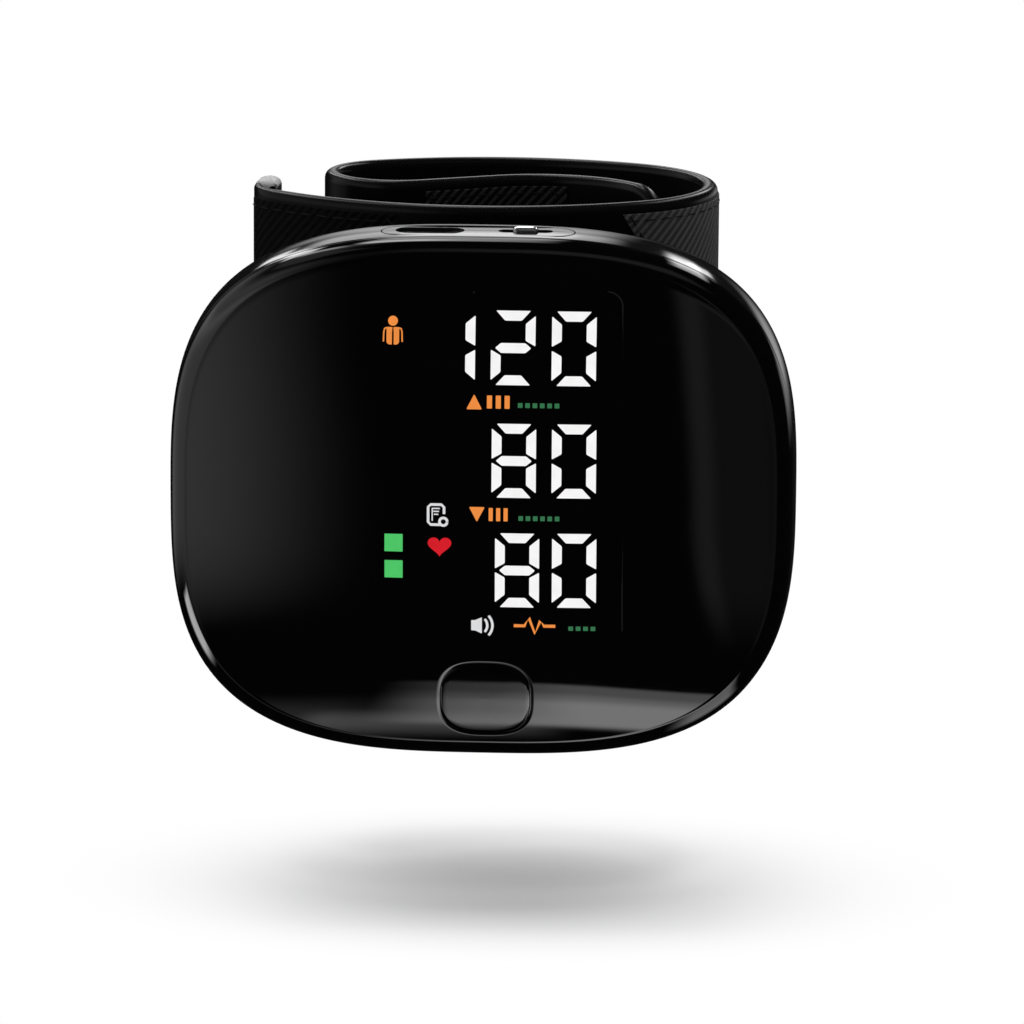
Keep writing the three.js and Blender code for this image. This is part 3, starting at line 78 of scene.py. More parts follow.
def placed(points):
    """Millimetres counted from the display's foremost point, to metres in the row frame."""
    points = np.asarray(points, float).reshape(-1, 3).copy()
    points[:, 1] -= HALF_DEPTH
    return points * MM


def into_scene(name, data):
    thing = bpy.data.objects.new(name, data)
    bpy.context.scene.collection.objects.link(thing)
    return thing


def mesh_object(name, points, faces, materials, sharp=32, cloth=None, pick=None):
    """One closed piece; cloth is its map of the weave, pick says which material each face takes."""
    mesh = bpy.data.meshes.new(name)
    mesh.from_pydata([tuple(p) for p in placed(points)], [], [tuple(int(i) for i in f) for f in faces])
    if cloth is not None:
        layer = mesh.uv_layers.new(name="cloth")
        corner = np.array([loop.vertex_index for loop in mesh.loops])
        layer.data.foreach_set("uv", np.asarray(cloth, np.float32)[corner].ravel())
    for material in materials:
        mesh.materials.append(material)
    if pick is not None:
        mesh.polygons.foreach_set("material_index", np.asarray(pick, np.int32))
    work = bmesh.new()
    work.from_mesh(mesh)
    bmesh.ops.recalc_face_normals(work, faces=work.faces)
    if work.calc_volume(signed=True) < 0:
        bmesh.ops.reverse_faces(work, faces=work.faces)
    work.to_mesh(mesh)
    work.free()
    mesh.shade_smooth()
    mesh.set_sharp_from_angle(angle=math.radians(sharp))
    return into_scene(name, mesh)


def loft(rings, closed=False):
    """Points and faces through rings of equal count; open ends are closed by a flat cap."""
    rings = np.asarray(rings, float)
    count, steps = rings.shape[:2]
    faces = []
    for row in range(count if closed else count - 1):
        a, b = row * steps, ((row + 1) % count) * steps
        faces += [(a + k, a + (k + 1) % steps, b + (k + 1) % steps, b + k) for k in range(steps)]
    if not closed:
        last = (count - 1) * steps
        faces += [tuple(range(steps))[::-1], tuple(range(last, last + steps))]
    return rings.reshape(-1, 3), faces


def joined(parts):
    points, faces, start = [], [], 0
    for p, f in parts:
        points.append(np.asarray(p))
        faces += [tuple(i + start for i in face) for face in f]
        start += len(p)
    return np.vstack(points), faces


def at(*coordinates):
    """Points from their coordinates; a single number holds for all of them."""
    return np.stack(np.broadcast_arrays(*coordinates), -1)


def squircle(angle, half_x, half_z, power=OUTLINE_POWER):
    c, s = np.cos(angle), np.sin(angle)
    reach = (np.abs(c) ** power + np.abs(s) ** power) ** (-1 / power)
    return half_x * c * reach, half_z * s * reach


def outline(inset, depth, steps=288):
    """The housing's outline at one depth, as one ring."""
    x, z = squircle((np.arange(steps) + 0.5) * 2 * math.pi / steps, HALF_WIDTH - inset, HALF_HEIGHT - inset)
    return at(x, depth, z + HALF_HEIGHT)


def stadium(length, width, x, y, steps=40):
    """A slot's outline in plan: half circles at both ends."""
    a = 2 * math.pi * np.arange(steps) / steps
    side = (length - width) / 2 * np.where(np.cos(a) >= -1e-9, 1, -1)
    return at(x + side + np.cos(a) * width / 2, y + np.sin(a) * width / 2)


def prism_up(line, low, high):
    return loft([[(x, y, z) for x, y in line] for z in (low, high)])


def disc(x, z, radius, steps=28):
    a = np.arange(steps) * 2 * math.pi / steps
    return at(x + radius * np.cos(a), z + radius * np.sin(a))


def rod_back(x, z, radius, low, high=30):
    line = disc(x, z, radius)
    return loft([at(line[:, 0], y, line[:, 1]) for y in (low, high)])


def settle(thing, source=None):
    """The object's evaluated mesh in place of its modifiers, for good."""
    bpy.context.view_layer.update()
    done = bpy.data.meshes.new_from_object(thing.evaluated_get(bpy.context.evaluated_depsgraph_get()))
    thing.modifiers.clear()
    old, thing.data = thing.data, done
    bpy.data.meshes.remove(old)
    done.name = thing.name
    if source:
        bpy.data.objects.remove(source)
    done.shade_smooth()
    done.set_sharp_from_angle(angle=math.radians(32))
    return thing


def carve(thing, cutter):
    """Cuts one closed piece out of another."""
    cut = thing.modifiers.new("cut", "BOOLEAN")
    cut.operation, cut.solver, cut.object = "DIFFERENCE", "EXACT", cutter
    return settle(thing, cutter)


def bored(thing, *parts):
    """Cuts bare shapes out of a piece; the cut faces keep its material."""
    return carve(thing, mesh_object("cutter", *joined(parts), list(thing.data.materials)))


def feed(tree, node, inputs):
    """Sets or links a node's inputs; a node given as a value stands for its first output."""
    for key, value in dict(inputs).items():
        if isinstance(value, bpy.types.Node):
            value = value.outputs[0]
        if isinstance(value, bpy.types.NodeSocket):
            tree.links.new(value, node.inputs[key])
        else:
            node.inputs[key].default_value = value


def add(tree, kind, inputs=(), **settings):
    """One node with its settings and its inputs, by socket name or number."""
    family = next(f for f in ("ShaderNode", "GeometryNode", "FunctionNode", "") if hasattr(bpy.types, f + kind))
    node = tree.nodes.new(family + kind)
    for name, value in settings.items():
        setattr(node, name, value)
    feed(tree, node, inputs)
    return node


def maths(tree, operation, *values):
    return add(tree, "Math", dict(enumerate(values)), operation=operation)


def tinted(tree, share, first, second):
    """A colour between two, by a share."""
    return add(tree, "Mix", {0: share, 6: (*first, 1), 7: (*second, 1)}, data_type="RGBA").outputs[2]


def group(name, family, outputs, **inputs):
    """A node group, its inputs' sockets and its end; a number is a socket's value, a word its kind."""
    tree = bpy.data.node_groups.new(name, family + "NodeTree")
    for way, wanted in (("INPUT", inputs), ("OUTPUT", outputs)):
        for word, value in wanted.items():
            kind = value if isinstance(value, str) else "Int" if isinstance(value, int) else "Float"
            socket = tree.interface.new_socket(word.replace("_", " "), in_out=way, socket_type="NodeSocket" + kind)
            if kind != value:
                socket.default_value = value
    return tree, add(tree, "NodeGroupInput").outputs, add(tree, "NodeGroupOutput")


def dressed(tree, enter, leave, geometry):
    """Ends a Geometry Nodes tree: real copies, in the material of its Finish input."""
    real = add(tree, "RealizeInstances", {0: geometry})
    feed(tree, leave, {0: add(tree, "SetMaterial", {"Geometry": real, "Material": enter["Finish"]})})
    return tree


def built(name, tree, values, base=None):
    """Runs a Geometry Nodes tree, with its inputs set by identifier, and keeps the plain mesh it makes."""
    thing = base or into_scene(name, bpy.data.meshes.new(name))
    live = thing.modifiers.new(name, "NODES")
    live.node_group = tree
    for item in tree.interface.items_tree:
        if item.item_type == "SOCKET" and item.in_out == "INPUT" and item.name in values:
            live[item.identifier] = values[item.name]
    return settle(thing)


def surface_grain():
    """Shared by the hard materials: a fine unevenness, as a shade for the roughness and as a bump."""
    tree, enter, leave = group("surface_grain", "Shader", {"Shade": "Float", "Normal": "Vector"},
                               Scale=900.0, Height=0.02)
    place = add(tree, "TexCoord").outputs["Object"]
    fine = add(tree, "TexNoise", {"Vector": place, "Scale": enter["Scale"], "Detail": 3.0})
    broad = add(tree, "TexNoise", {"Vector": place, "Scale": 60.0})
    bump = add(tree, "Bump", {"Height": fine, "Strength": enter["Height"], "Distance": 0.02 * MM})
    feed(tree, leave, {"Shade": maths(tree, "MULTIPLY", fine, broad), "Normal": bump})
    return tree


GRAIN = surface_grain()


def blank(name, **values):
    """A new material, its tree and its surface shader, with plain values set on the shader."""
    material = bpy.data.materials.new(name)
    material.use_nodes = True
    shader = material.node_tree.nodes["Principled BSDF"]
    for word, value in values.items():
        shader.inputs[word.replace("_", " ")].default_value = value
    return material, material.node_tree, shader


def hard_material(name, color, rough, spread=0.04, metal=0.0, scale=900.0, height=0.02, mottle=0.0, **more):
    """A moulded, rolled or turned surface; mottle lets its colour vary in broad clouds."""
    material, tree, shader = blank(name, Metallic=metal, **more)
    grain = add(tree, "Group", {}, node_tree=GRAIN)
    feed(tree, grain, {"Scale": scale, "Height": height})
    wear = add(tree, "MapRange", {"Value": grain, "From Min": 0.1, "From Max": 0.45, "To Min": rough,
                                  "To Max": rough + spread})
    tint = tinted(tree, grain, [c * (1 - mottle) for c in color], [min(1, c * (1.12 + 2 * mottle)) for c in color])
    feed(tree, shader, {"Base Color": tint, "Roughness": wear, "Normal": grain.outputs["Normal"]})
    return material


def finish(material, *nodes):
    """Gives CAD nodes whose shape is right their material."""
    for node in nodes:
        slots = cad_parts[node].data.materials
        slots.clear()
        slots.append(material)


CASE_BLACK = hard_material("case_black", (0.004, 0.004, 0.0044), 0.07)
SCREW_STEEL = hard_material("screw_steel", (0.18, 0.18, 0.19), 0.3, 0.15, metal=1.0, scale=1800, height=0.15)

side = [(CREST - (CREST - CASE_FRONT) * share, SEAM_INSET * share ** SIDE_POWER)
        for share in np.linspace(0, 0.97, 16)]
lip = [(CASE_FRONT + 0.10, 0.43), (CASE_FRONT + 0.02, 0.50), (CASE_FRONT, 0.60)]
rolled = [(CREST + (BACK - CREST) * math.cos(a) ** (2 / BACK_POWER),
           BACK_INSET * (1 - math.sin(a) ** (2 / BACK_POWER))) for a in np.linspace(0, math.pi / 2, 42)]
inner = [(max(CREST, depth - CASE_WALL), inset + CASE_WALL) for depth, inset in rolled[:-1:3]]
profile = rolled + side[1:] + lip + [(CASE_FRONT, 2.2), (CREST - 2, CASE_WALL + 0.05)] + inner[::-1]
rear_case = mesh_object("rear_shell", *loft([outline(inset, depth) for depth, inset in profile]), [CASE_BLACK])


def ring_of_holes():
    """A hole in the middle and two rings of holes around it, as rods to cut with."""
    tree, enter, leave = group("ring_of_holes", "Geometry", {"Geometry": "Geometry"}, Pitch=2.0, Hole_Radius=0.6,
                               Depth=8.0, Place="Vector", Finish="Material")
    places = add(tree, "JoinGeometry")
    feed(tree, places, {0: add(tree, "Points", {"Count": 1})})
    for number in (1, 2):
        reach = maths(tree, "MULTIPLY", enter["Pitch"], float(number))
        feed(tree, places, {0: add(tree, "MeshCircle", {"Vertices": 6 * number, "Radius": reach})})
    rod = add(tree, "MeshCylinder", {"Vertices": 18, "Radius": enter["Hole Radius"], "Depth": enter["Depth"]})
    rods = add(tree, "InstanceOnPoints", {"Points": places, "Instance": rod})
    turned = add(tree, "Transform", {"Geometry": rods, "Translation": enter["Place"],
                                     "Rotation": (math.pi / 2, 0, 0)})
    return dressed(tree, enter, leave, turned)


SPEAKER_X, SPEAKER_PITCH, SPEAKER_HOLE = -27.0, 2.1, 0.65
carve(rear_case, built("grille_rods", ring_of_holes(), {
    "Pitch": SPEAKER_PITCH * MM, "Hole Radius": SPEAKER_HOLE * MM, "Depth": 9 * MM,
    "Place": placed([(SPEAKER_X, 25.0, HALF_HEIGHT)])[0].tolist(), "Finish": CASE_BLACK}))
back_holes = [(side_x * 31, HALF_HEIGHT + side_z * 22, 2.6, 20.2) for side_x in (-1, 1) for side_z in (-1, 1)]
bored(rear_case, *[rod_back(*hole) for hole in back_holes + [(-2, HALF_HEIGHT, 2.1, 20)]])
CONTROL_Y, PLATE_X, PLATE_LENGTH, PLATE_WIDTH = 10.0, -0.8, 26.0, 5.6
bored(rear_case, prism_up(stadium(PLATE_LENGTH + 0.3, PLATE_WIDTH + 0.08, PLATE_X, CONTROL_Y), TOP - 1.08, TOP + 4))
CONTROL_SLOTS = [prism_up(stadium(length, width, x, CONTROL_Y), TOP - 5, TOP + 4)
                 for length, width, x in ((9.34, 3.66, -7.3), (7.4, 1.9, 5.6))]
bored(rear_case, *CONTROL_SLOTS)
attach(rear_case, "monitor")
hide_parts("rear_case")
finish(SCREW_STEEL, "case_screw_1", "case_screw_2", "case_screw_3", "case_screw_4")


# ---------------- boards and battery
# Two fibreglass boards with green solder mask, a white moulded light box with a well behind each bar of the
# figures, and a foil pouch cell that sits on a black foam pad.
MASK_GREEN = (0.012, 0.075, 0.035)
BOARD = hard_material("board_green", MASK_GREEN, 0.34, 0.1, scale=1400, height=0.1)
tree = BOARD.node_tree
tracks = add(tree, "TexBrick", {"Vector": add(tree, "TexCoord").outputs["Object"], "Scale": 420.0,
                                "Mortar Size": 0.03, "Color1": (*MASK_GREEN, 1),
                                "Color2": (0.016, 0.10, 0.045, 1), "Mortar": (0.03, 0.16, 0.07, 1)})
feed(tree, tree.nodes["Principled BSDF"], {"Base Color": tracks})
LIGHT_BOX = hard_material("light_box_white", (0.78, 0.78, 0.76), 0.45, 0.12, scale=1200, height=0.06, mottle=0.03)
POUCH = hard_material("cell_pouch", (0.62, 0.63, 0.65), 0.32, 0.2, metal=0.85, scale=350, height=0.5, mottle=0.05)
FOAM = hard_material("pad_foam", (0.022, 0.022, 0.023), 0.85, 0.12, scale=2600, height=1.0, mottle=0.25)
finish(BOARD, "main_board", "display_board")
finish(LIGHT_BOX, "display_reflector")
finish(POUCH, "battery_cell")
finish(FOAM, "battery_pad")


# ---------------- pump, valve and air ways
# A small motor in a steel can turns an eccentric under the pump's head; clear rubber hoses join the head, the
# valve and the cuff through a moulded manifold, and a pressure sensor sits on the board beside it. The valve's
# spring is wound from round steel wire.
STEEL = hard_material("bright_steel", (0.72, 0.72, 0.73), 0.16, 0.12, metal=1.0, scale=1500, height=0.1)
MOULDED_GREY = hard_material("moulded_grey", (0.24, 0.245, 0.25), 0.4, 0.12, scale=1600, height=0.15, mottle=0.05)
SATIN_BLACK = hard_material("satin_black", (0.009, 0.009, 0.0095), 0.22, 0.1, scale=2400, height=0.05)
RUBBER = hard_material("hose_rubber", (0.55, 0.56, 0.56), 0.28, 0.14, scale=700, height=0.1, mottle=0.08,
                       Transmission_Weight=0.35)
finish(STEEL, "pump_motor_can", "valve_plunger")
finish(SCREW_STEEL, "pump_rotor", "saddle_screw_1", "saddle_screw_2")
finish(MOULDED_GREY, "pump_head", "air_manifold", "pressure_sensor", "valve_body")
finish(RUBBER, "pump_diaphragm", "hose_from_pump", "hose_to_valve", "hose_to_cuff")


def wound_spring():
    """A spring wound from round wire, standing on its place."""
    tree, enter, leave = group("wound_spring", "Geometry", {"Geometry": "Geometry"}, Turns=3.0, Radius=0.0018,
                               Height=0.0032, Wire_Radius=0.00017, Place="Vector", Finish="Material")
    coil = add(tree, "CurveSpiral", {"Resolution": 32, "Rotations": enter["Turns"], "Start Radius": enter["Radius"],
                                     "End Radius": enter["Radius"], "Height": enter["Height"]})
    section = add(tree, "CurvePrimitiveCircle", {"Resolution": 10, "Radius": enter["Wire Radius"]})
    wire = add(tree, "CurveToMesh", {"Curve": coil, "Profile Curve": section, "Fill Caps": True})
    return dressed(tree, enter, leave, add(tree, "Transform", {"Geometry": wire, "Translation": enter["Place"]}))


WIRE, PLUNGER_STROKE = 0.32, 0.8
spring_low, spring_high = (Vector(corner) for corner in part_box("valve_spring"))
spring_foot = Vector(((spring_low.x + spring_high.x) / 2, (spring_low.y + spring_high.y) / 2, spring_low.z))
spring_length = spring_high.z - spring_low.z
spring = built("return_spring", wound_spring(), {
    "Turns": 3.0, "Radius": 1.77 * MM, "Height": spring_length - WIRE * MM, "Wire Radius": WIRE / 2 * MM,
    "Place": [spring_foot.x, spring_foot.y, spring_foot.z + WIRE / 2 * MM], "Finish": STEEL})
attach(spring, "monitor")
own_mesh(spring)
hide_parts("valve_spring")


# ---------------- speaker
# A small round speaker glued over the holes in the back: a black moulded basket with a coated paper cone.
finish(SATIN_BLACK, "speaker_basket")
finish(hard_material("speaker_cone", (0.035, 0.034, 0.033), 0.6, 0.2, scale=1900, height=0.7, mottle=0.2),
       "speaker_cone")


# ---------------- front cover
# One piece of black polished acrylic over the whole front: a shallow dome with a wide rounded edge, and a
# squircle hole for the start button near its lower edge. It is glued into the rear case along the fine seam.
BUTTON, BUTTON_HALF, BUTTON_POWER = np.array([0.97, 8.9]), (6.1, 4.98), 2.8
FACE_LIFT, COVER_WALL = 0.03, 1.4
LENS = hard_material("lens_black", (0.0008, 0.0008, 0.0009), 0.02, 0.015, scale=500, height=0.006)


def dome(x, z):
    """Depth of the dome at a place on the face, and that place's share of the way to the edge."""
    half_x, half_z = HALF_WIDTH - FACE_INSET, HALF_HEIGHT - FACE_INSET
    share = (np.abs(x / half_x) ** OUTLINE_POWER + np.abs((z - HALF_HEIGHT) / half_z) ** OUTLINE_POWER) ** (
        1 / OUTLINE_POWER)
    return DOME_DEPTH * share ** DOME_POWER + FACE_LIFT, share


def on_dome(line, drop):
    """A flat line laid on the dome and sunk by drop."""
    return at(line[:, 0], dome(*line.T)[0] + drop, line[:, 1])


rays = np.linspace(0, 2 * math.pi, 360, endpoint=False)
spokes = at(np.cos(rays), np.sin(rays))
near, far = np.full_like(rays, 3.0), np.full_like(rays, 90.0)
for _ in range(50):
    middle = (near + far) / 2
    outside = dome(*(BUTTON + middle[:, None] * spokes).T)[1] > 1
    near, far = np.where(outside, near, middle), np.where(outside, middle, far)
edge = BUTTON + near[:, None] * spokes


def hole_line(grow):
    """The button's squircle in the face's plane, larger by grow."""
    sides = np.abs(spokes / (BUTTON_HALF[0] + grow, BUTTON_HALF[1] + grow)) ** BUTTON_POWER
    return BUTTON + sides.sum(axis=1)[:, None] ** (-1 / BUTTON_POWER) * spokes


def key_ring(grow, drop, scale=1.0):
    return on_dome((hole_line(grow) - BUTTON) * scale + BUTTON, drop)


def face_ring(share, start, drop):
    return on_dome(start + (edge - start) * share, drop)


def edge_ring(inset, depth):
    x = edge[:, 0] / (HALF_WIDTH - FACE_INSET) * (HALF_WIDTH - inset)
    z = (edge[:, 1] - HALF_HEIGHT) / (HALF_HEIGHT - FACE_INSET) * (HALF_HEIGHT - inset)
    return at(x, depth, z + HALF_HEIGHT)


RIM_WIDTH, RIM_DROP = 0.42, 0.042
cover_rings = [key_ring(0.0, COVER_WALL), key_ring(0.0, RIM_DROP + 0.05), key_ring(0.02, RIM_DROP + 0.02),
               key_ring(0.05, RIM_DROP)]
cover_rings += [key_ring(0.05 + (RIM_WIDTH - 0.05) * share, RIM_DROP * (1 - share)) for share in (0.3, 0.6, 0.9)]
cover_rings += [face_ring(share, hole_line(RIM_WIDTH + 0.05), 0.0) for share in np.linspace(0, 1, 90) ** 1.25]
cover_rings += [edge_ring(SEAM_INSET + BEVEL_RADIUS * (math.cos(BEVEL_START) - math.cos(a)),
                          SEAM_DEPTH - BEVEL_RADIUS * (math.sin(a) - math.sin(BEVEL_START)))
                for a in np.linspace(BEVEL_END, BEVEL_START, 22)[1:]]
cover_rings += [edge_ring(SEAM_INSET + 0.08, SEAM_DEPTH + 0.03), edge_ring(2.2, SEAM_DEPTH + 0.03)]
cover_rings += [face_ring(share, hole_line(0.5), COVER_WALL) for share in np.linspace(0.985, 0, 30)]
front_cover = mesh_object("front_lens", *loft(cover_rings, closed=True), [LENS])
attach(front_cover, "monitor")
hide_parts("front_cover")


# ---------------- start button
# A squircle key of the same black acrylic that follows the dome, with a fine slit all round it and a skirt
# behind the cover that keeps it in. It rests on a small switch on the board.
KEY_GAP, SKIRT = 0.07, 0.35
key_rings = [key_ring(-KEY_GAP - 0.3, 0.0, share) for share in (0.02, 0.25, 0.5, 0.75, 0.92, 1.0)]
key_rings += [key_ring(-KEY_GAP - 0.05, 0.006), key_ring(-KEY_GAP - 0.02, 0.02), key_ring(-KEY_GAP, 0.06),
              key_ring(-KEY_GAP, 1.55), key_ring(SKIRT, 1.62), key_ring(SKIRT, 2.0), key_ring(SKIRT, 2.0, 0.3)]
start_key = mesh_object("start_key", *loft(key_rings), [LENS])
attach(start_key, "start_button")
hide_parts("start_button")
finish(SATIN_BLACK, "tact_switch")


# ---------------- control plate, port and switch
# A glossy black plate let flush into the top side, with a slot for the charging port and one for the slide
# switch. The port is a folded steel shell; the switch has a small bright steel knob with grip grooves.
def crown_height(x, y):
    """Height of the rear case's top at a place seen from above."""
    front = SEAM_INSET * (np.clip(CREST - y, 0, None) / (CREST - CASE_FRONT)) ** SIDE_POWER
    back_share = np.clip((y - CREST) / (BACK - CREST), 0, 0.999)
    inset = np.where(y < CREST, front, BACK_INSET * (1 - (1 - back_share ** BACK_POWER) ** (1 / BACK_POWER)))
    across = np.abs(x / (HALF_WIDTH - inset)) ** OUTLINE_POWER
    return HALF_HEIGHT + (HALF_HEIGHT - inset) * (1 - across) ** (1 / OUTLINE_POWER)


def plate_ring(shrink, drop, share=1.0):
    x, y = stadium(PLATE_LENGTH - 2 * shrink, PLATE_WIDTH - 2 * shrink, PLATE_X, 0, 120).T
    y = CONTROL_Y + y * share
    return at(x, y, crown_height(x, y) - drop)


PLATE_BLACK = hard_material("plate_black", (0.005, 0.005, 0.0055), 0.12, 0.05, scale=2400, height=0.03)
plate_rings = [plate_ring(0.0, 0.95), plate_ring(0.0, 0.04), plate_ring(0.02, 0.008)]
plate_rings += [plate_ring(0.05, 0.0, share) for share in (1.0, 0.75, 0.5, 0.25, 0.02)]
control_plate = mesh_object("top_plate", *loft(plate_rings), [PLATE_BLACK])
bored(control_plate, *CONTROL_SLOTS)
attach(control_plate, "monitor")
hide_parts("control_plate")
finish(STEEL, "usb_shell")
finish(SATIN_BLACK, "usb_tongue", "slide_switch_body")


def row_of_bars():
    """A row of upright bars, to cut the grip grooves with."""
    tree, enter, leave = group("row_of_bars", "Geometry", {"Geometry": "Geometry"}, Count=4, Step="Vector",
                               First="Vector", Size="Vector", Finish="Material")
    line = add(tree, "MeshLine", {"Count": enter["Count"], "Start Location": enter["First"],
                                  "Offset": enter["Step"]}, mode="OFFSET")
    bar = add(tree, "MeshCube", {"Size": enter["Size"]})
    return dressed(tree, enter, leave, add(tree, "InstanceOnPoints", {"Points": line, "Instance": bar}))


KNOB_X, KNOB_HALF, KNOB_TOP, GROOVE_STEP = 5.6, (1.7, 0.75), TOP + 0.5, 0.7
around = (np.arange(48) + 0.5) * 2 * math.pi / 48
knob_rings = []
for height, shrink in ((TOP - 2.28, 0.0), (KNOB_TOP - 0.42, 0.0), (KNOB_TOP - 0.26, 0.1), (KNOB_TOP - 0.15, 0.22),
                       (KNOB_TOP - 0.07, 0.38), (KNOB_TOP, 0.68)):
    x, y = squircle(around, KNOB_HALF[0] - shrink, KNOB_HALF[1] - shrink, 7)
    knob_rings.append(at(KNOB_X + x, CONTROL_Y + y, height))
knob = mesh_object("switch_knob", *loft(knob_rings), [STEEL])
carve(knob, built("groove_bars", row_of_bars(), {
    "Count": 4, "Step": [GROOVE_STEP * MM, 0.0, 0.0], "Size": [0.08 * MM, 2.2 * MM, 0.6 * MM],
    "First": placed([(KNOB_X - 1.5 * GROOVE_STEP, CONTROL_Y, KNOB_TOP + 0.24)])[0].tolist(), "Finish": STEEL}))
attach(knob, "voice_switch")
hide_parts("slide_switch_knob")


# ---------------- lit display
# Light from small lamps behind the smoked acrylic: three rows of seven-bar figures in white, with orange,
# green, grey, red and white signs beside and under them, and the faint edge of the light box on the right.
def lit(name, color):
    material, tree, shader = blank(name, Base_Color=(0, 0, 0, 1), Roughness=0.5, Specular_IOR_Level=0.1,
                                   Emission_Strength=1.0)
    cloud = add(tree, "TexNoise", {"Vector": add(tree, "TexCoord").outputs["Object"], "Scale": 500.0,
                                   "Detail": 2.0})
    tint = tinted(tree, cloud, [c * 0.88 for c in color], [min(1, c * 1.08) for c in color])
    feed(tree, shader, {"Emission Color": tint})
    return material


WHITE = lit("lit_white", (0.95, 0.94, 0.94))
ORANGE = lit("lit_orange", (0.86, 0.27, 0.055))
GREEN = lit("lit_green", (0.075, 0.56, 0.135))
DIM_GREEN = lit("lit_dim_green", (0.035, 0.165, 0.07))
RED = lit("lit_red", (0.66, 0.012, 0.022))
GREY = lit("lit_grey", (0.72, 0.72, 0.73))
FAINT = lit("faint_edge", (0.009, 0.009, 0.0095))


def rounded(line, radius, steps=4):
    """A closed line with its corners rounded."""
    line = np.asarray(line, float)
    found = []
    for k, corner in enumerate(line):
        before, after = line[k - 1] - corner, line[(k + 1) % len(line)] - corner
        reach = min(radius, np.linalg.norm(before) * 0.45, np.linalg.norm(after) * 0.45)
        begin, end = (corner + way / np.linalg.norm(way) * reach for way in (before, after))
        found += [begin * (1 - t) ** 2 + corner * 2 * t * (1 - t) + end * t ** 2 for t in np.linspace(0, 1, steps + 1)]
    return np.array(found)


def box(x0, x1, z0, z1, radius=0.06):
    return rounded([(x0, z0), (x1, z0), (x1, z1), (x0, z1)], radius)


def stroke(points, width):
    """A line of even width through points."""
    points = np.asarray(points, float)
    along = np.gradient(points, axis=0)
    along /= np.linalg.norm(along, axis=1, keepdims=True)
    aside = at(-along[:, 1], along[:, 0]) * width / 2
    return np.vstack([points + aside, (points - aside)[::-1]])


def arc(x, z, radius, first, last, width, steps=16):
    a = np.radians(np.linspace(first, last, steps))
    return stroke(at(x + radius * np.cos(a), z + radius * np.sin(a)), width)


def dashes(x0, x1, z0, z1, count, gap):
    step = (x1 - x0 + gap) / count
    return [box(x0 + k * step, x0 + (k + 1) * step - gap, z0, z1) for k in range(count)]


def sign(name, shapes, material, x=0, z=0):
    """Thin plaques in the shapes of closed lines, lying on the dome round a place."""
    lines = [np.asarray(shape, float) + (x, z) for shape in shapes]
    parts = [loft([on_dome(line, -0.03), on_dome(line, 0.06)]) for line in lines]
    thing = mesh_object(name, *joined(parts), [material])
    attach(thing, "monitor")


FIGURE_WIDTH, STROKE, CORNER = 5.95, 1.32, 0.16
BARS_OF = {"0": "abcdef", "1": "bc", "2": "abged", "8": "abcdefg"}


def figure_bar(which, x, z, height):
    """One bar of a figure: lying bars are wider outside, standing bars longer outside."""
    w, h, s = FIGURE_WIDTH / 2, height / 2, STROKE
    lying = [(-w + 0.66, h), (w - 0.66, h), (w - 1.86, h - s), (-w + 1.86, h - s)]
    standing = [(-w, h - 0.66), (-w + s, h - 1.74), (-w + s, 1.0), (-w, 0.26)]
    middle = [(-w + 0.56, 0), (-w + 1.34, s / 2), (w - 1.34, s / 2), (w - 0.56, 0), (w - 1.34, -s / 2),
              (-w + 1.34, -s / 2)]
    line, flip_x, flip_z = {"a": (lying, 1, 1), "d": (lying, 1, -1), "f": (standing, 1, 1), "b": (standing, -1, 1),
                            "e": (standing, 1, -1), "c": (standing, -1, -1), "g": (middle, 1, 1)}[which]
    return rounded([(x + px * flip_x, z + pz * flip_z) for px, pz in line], CORNER)


for name, height, row in (("figures_upper", 9.9, [("1", -3.58, 57.44), ("2", 4.47, 57.48), ("0", 12.62, 57.46)]),
                          ("figures_middle", 10.08, [("8", 4.72, 42.28), ("0", 12.78, 42.3)]),
                          ("figures_lower", 10.26, [("8", 5.25, 27.22), ("0", 12.92, 27.26)])):
    sign(name, [figure_bar(which, x, z, height) for figure, x, z in row for which in BARS_OF[figure]], WHITE)

person = [disc(0, 1.33, 0.66)]
for way in (-1, 1):
    trunk = [(0.05, 0.5), (0.85, 0.5), (0.85, -1.55), (0.6, -1.8), (0.12, -1.85), (0.12, -0.2)]
    limb = [(0.8, 0.42), (1.1, 0.3), (1.22, -0.1), (1.26, -1.45)]
    person += [rounded([(way * x, z) for x, z in trunk], 0.15), stroke([(way * x, z) for x, z in limb], 0.2)]
sign("sign_person", person, ORANGE, -11.67, 59.5)
sheet_side = [(0.5, -1.38), (-0.72, -1.38), (-1.07, -1.03), (-1.07, 1.03), (-0.72, 1.38), (0.72, 1.38), (1.07, 1.03),
              (1.07, 0.1)]
marks = [stroke([(-0.5 + 0.1 * k, z), (0.5 - 0.1 * k, z)], 0.17) for k, z in enumerate((0.85, 0.45, 0.05))]
sign("sign_sheet", [stroke(sheet_side, 0.36), stroke([(-0.52, 0.9), (-0.52, -0.85)], 0.16), *marks,
                    arc(0.98, -0.96, 0.52, 0, 352, 0.36, 26)], GREY, -5.68, 34.75)
t = np.linspace(0, 2 * math.pi, 60, endpoint=False)
heart = at(16 * np.sin(t) ** 3, 13 * np.cos(t) - 5 * np.cos(2 * t) - 2 * np.cos(3 * t) - np.cos(4 * t))
sign("sign_heart", [heart * (0.1, 0.092)], RED, -5.2, 30.5)
sign("sign_level", [box(-12.63, -10.18, 29.55, 31.98), box(-12.62, -10.17, 25.92, 28.33)], GREEN)
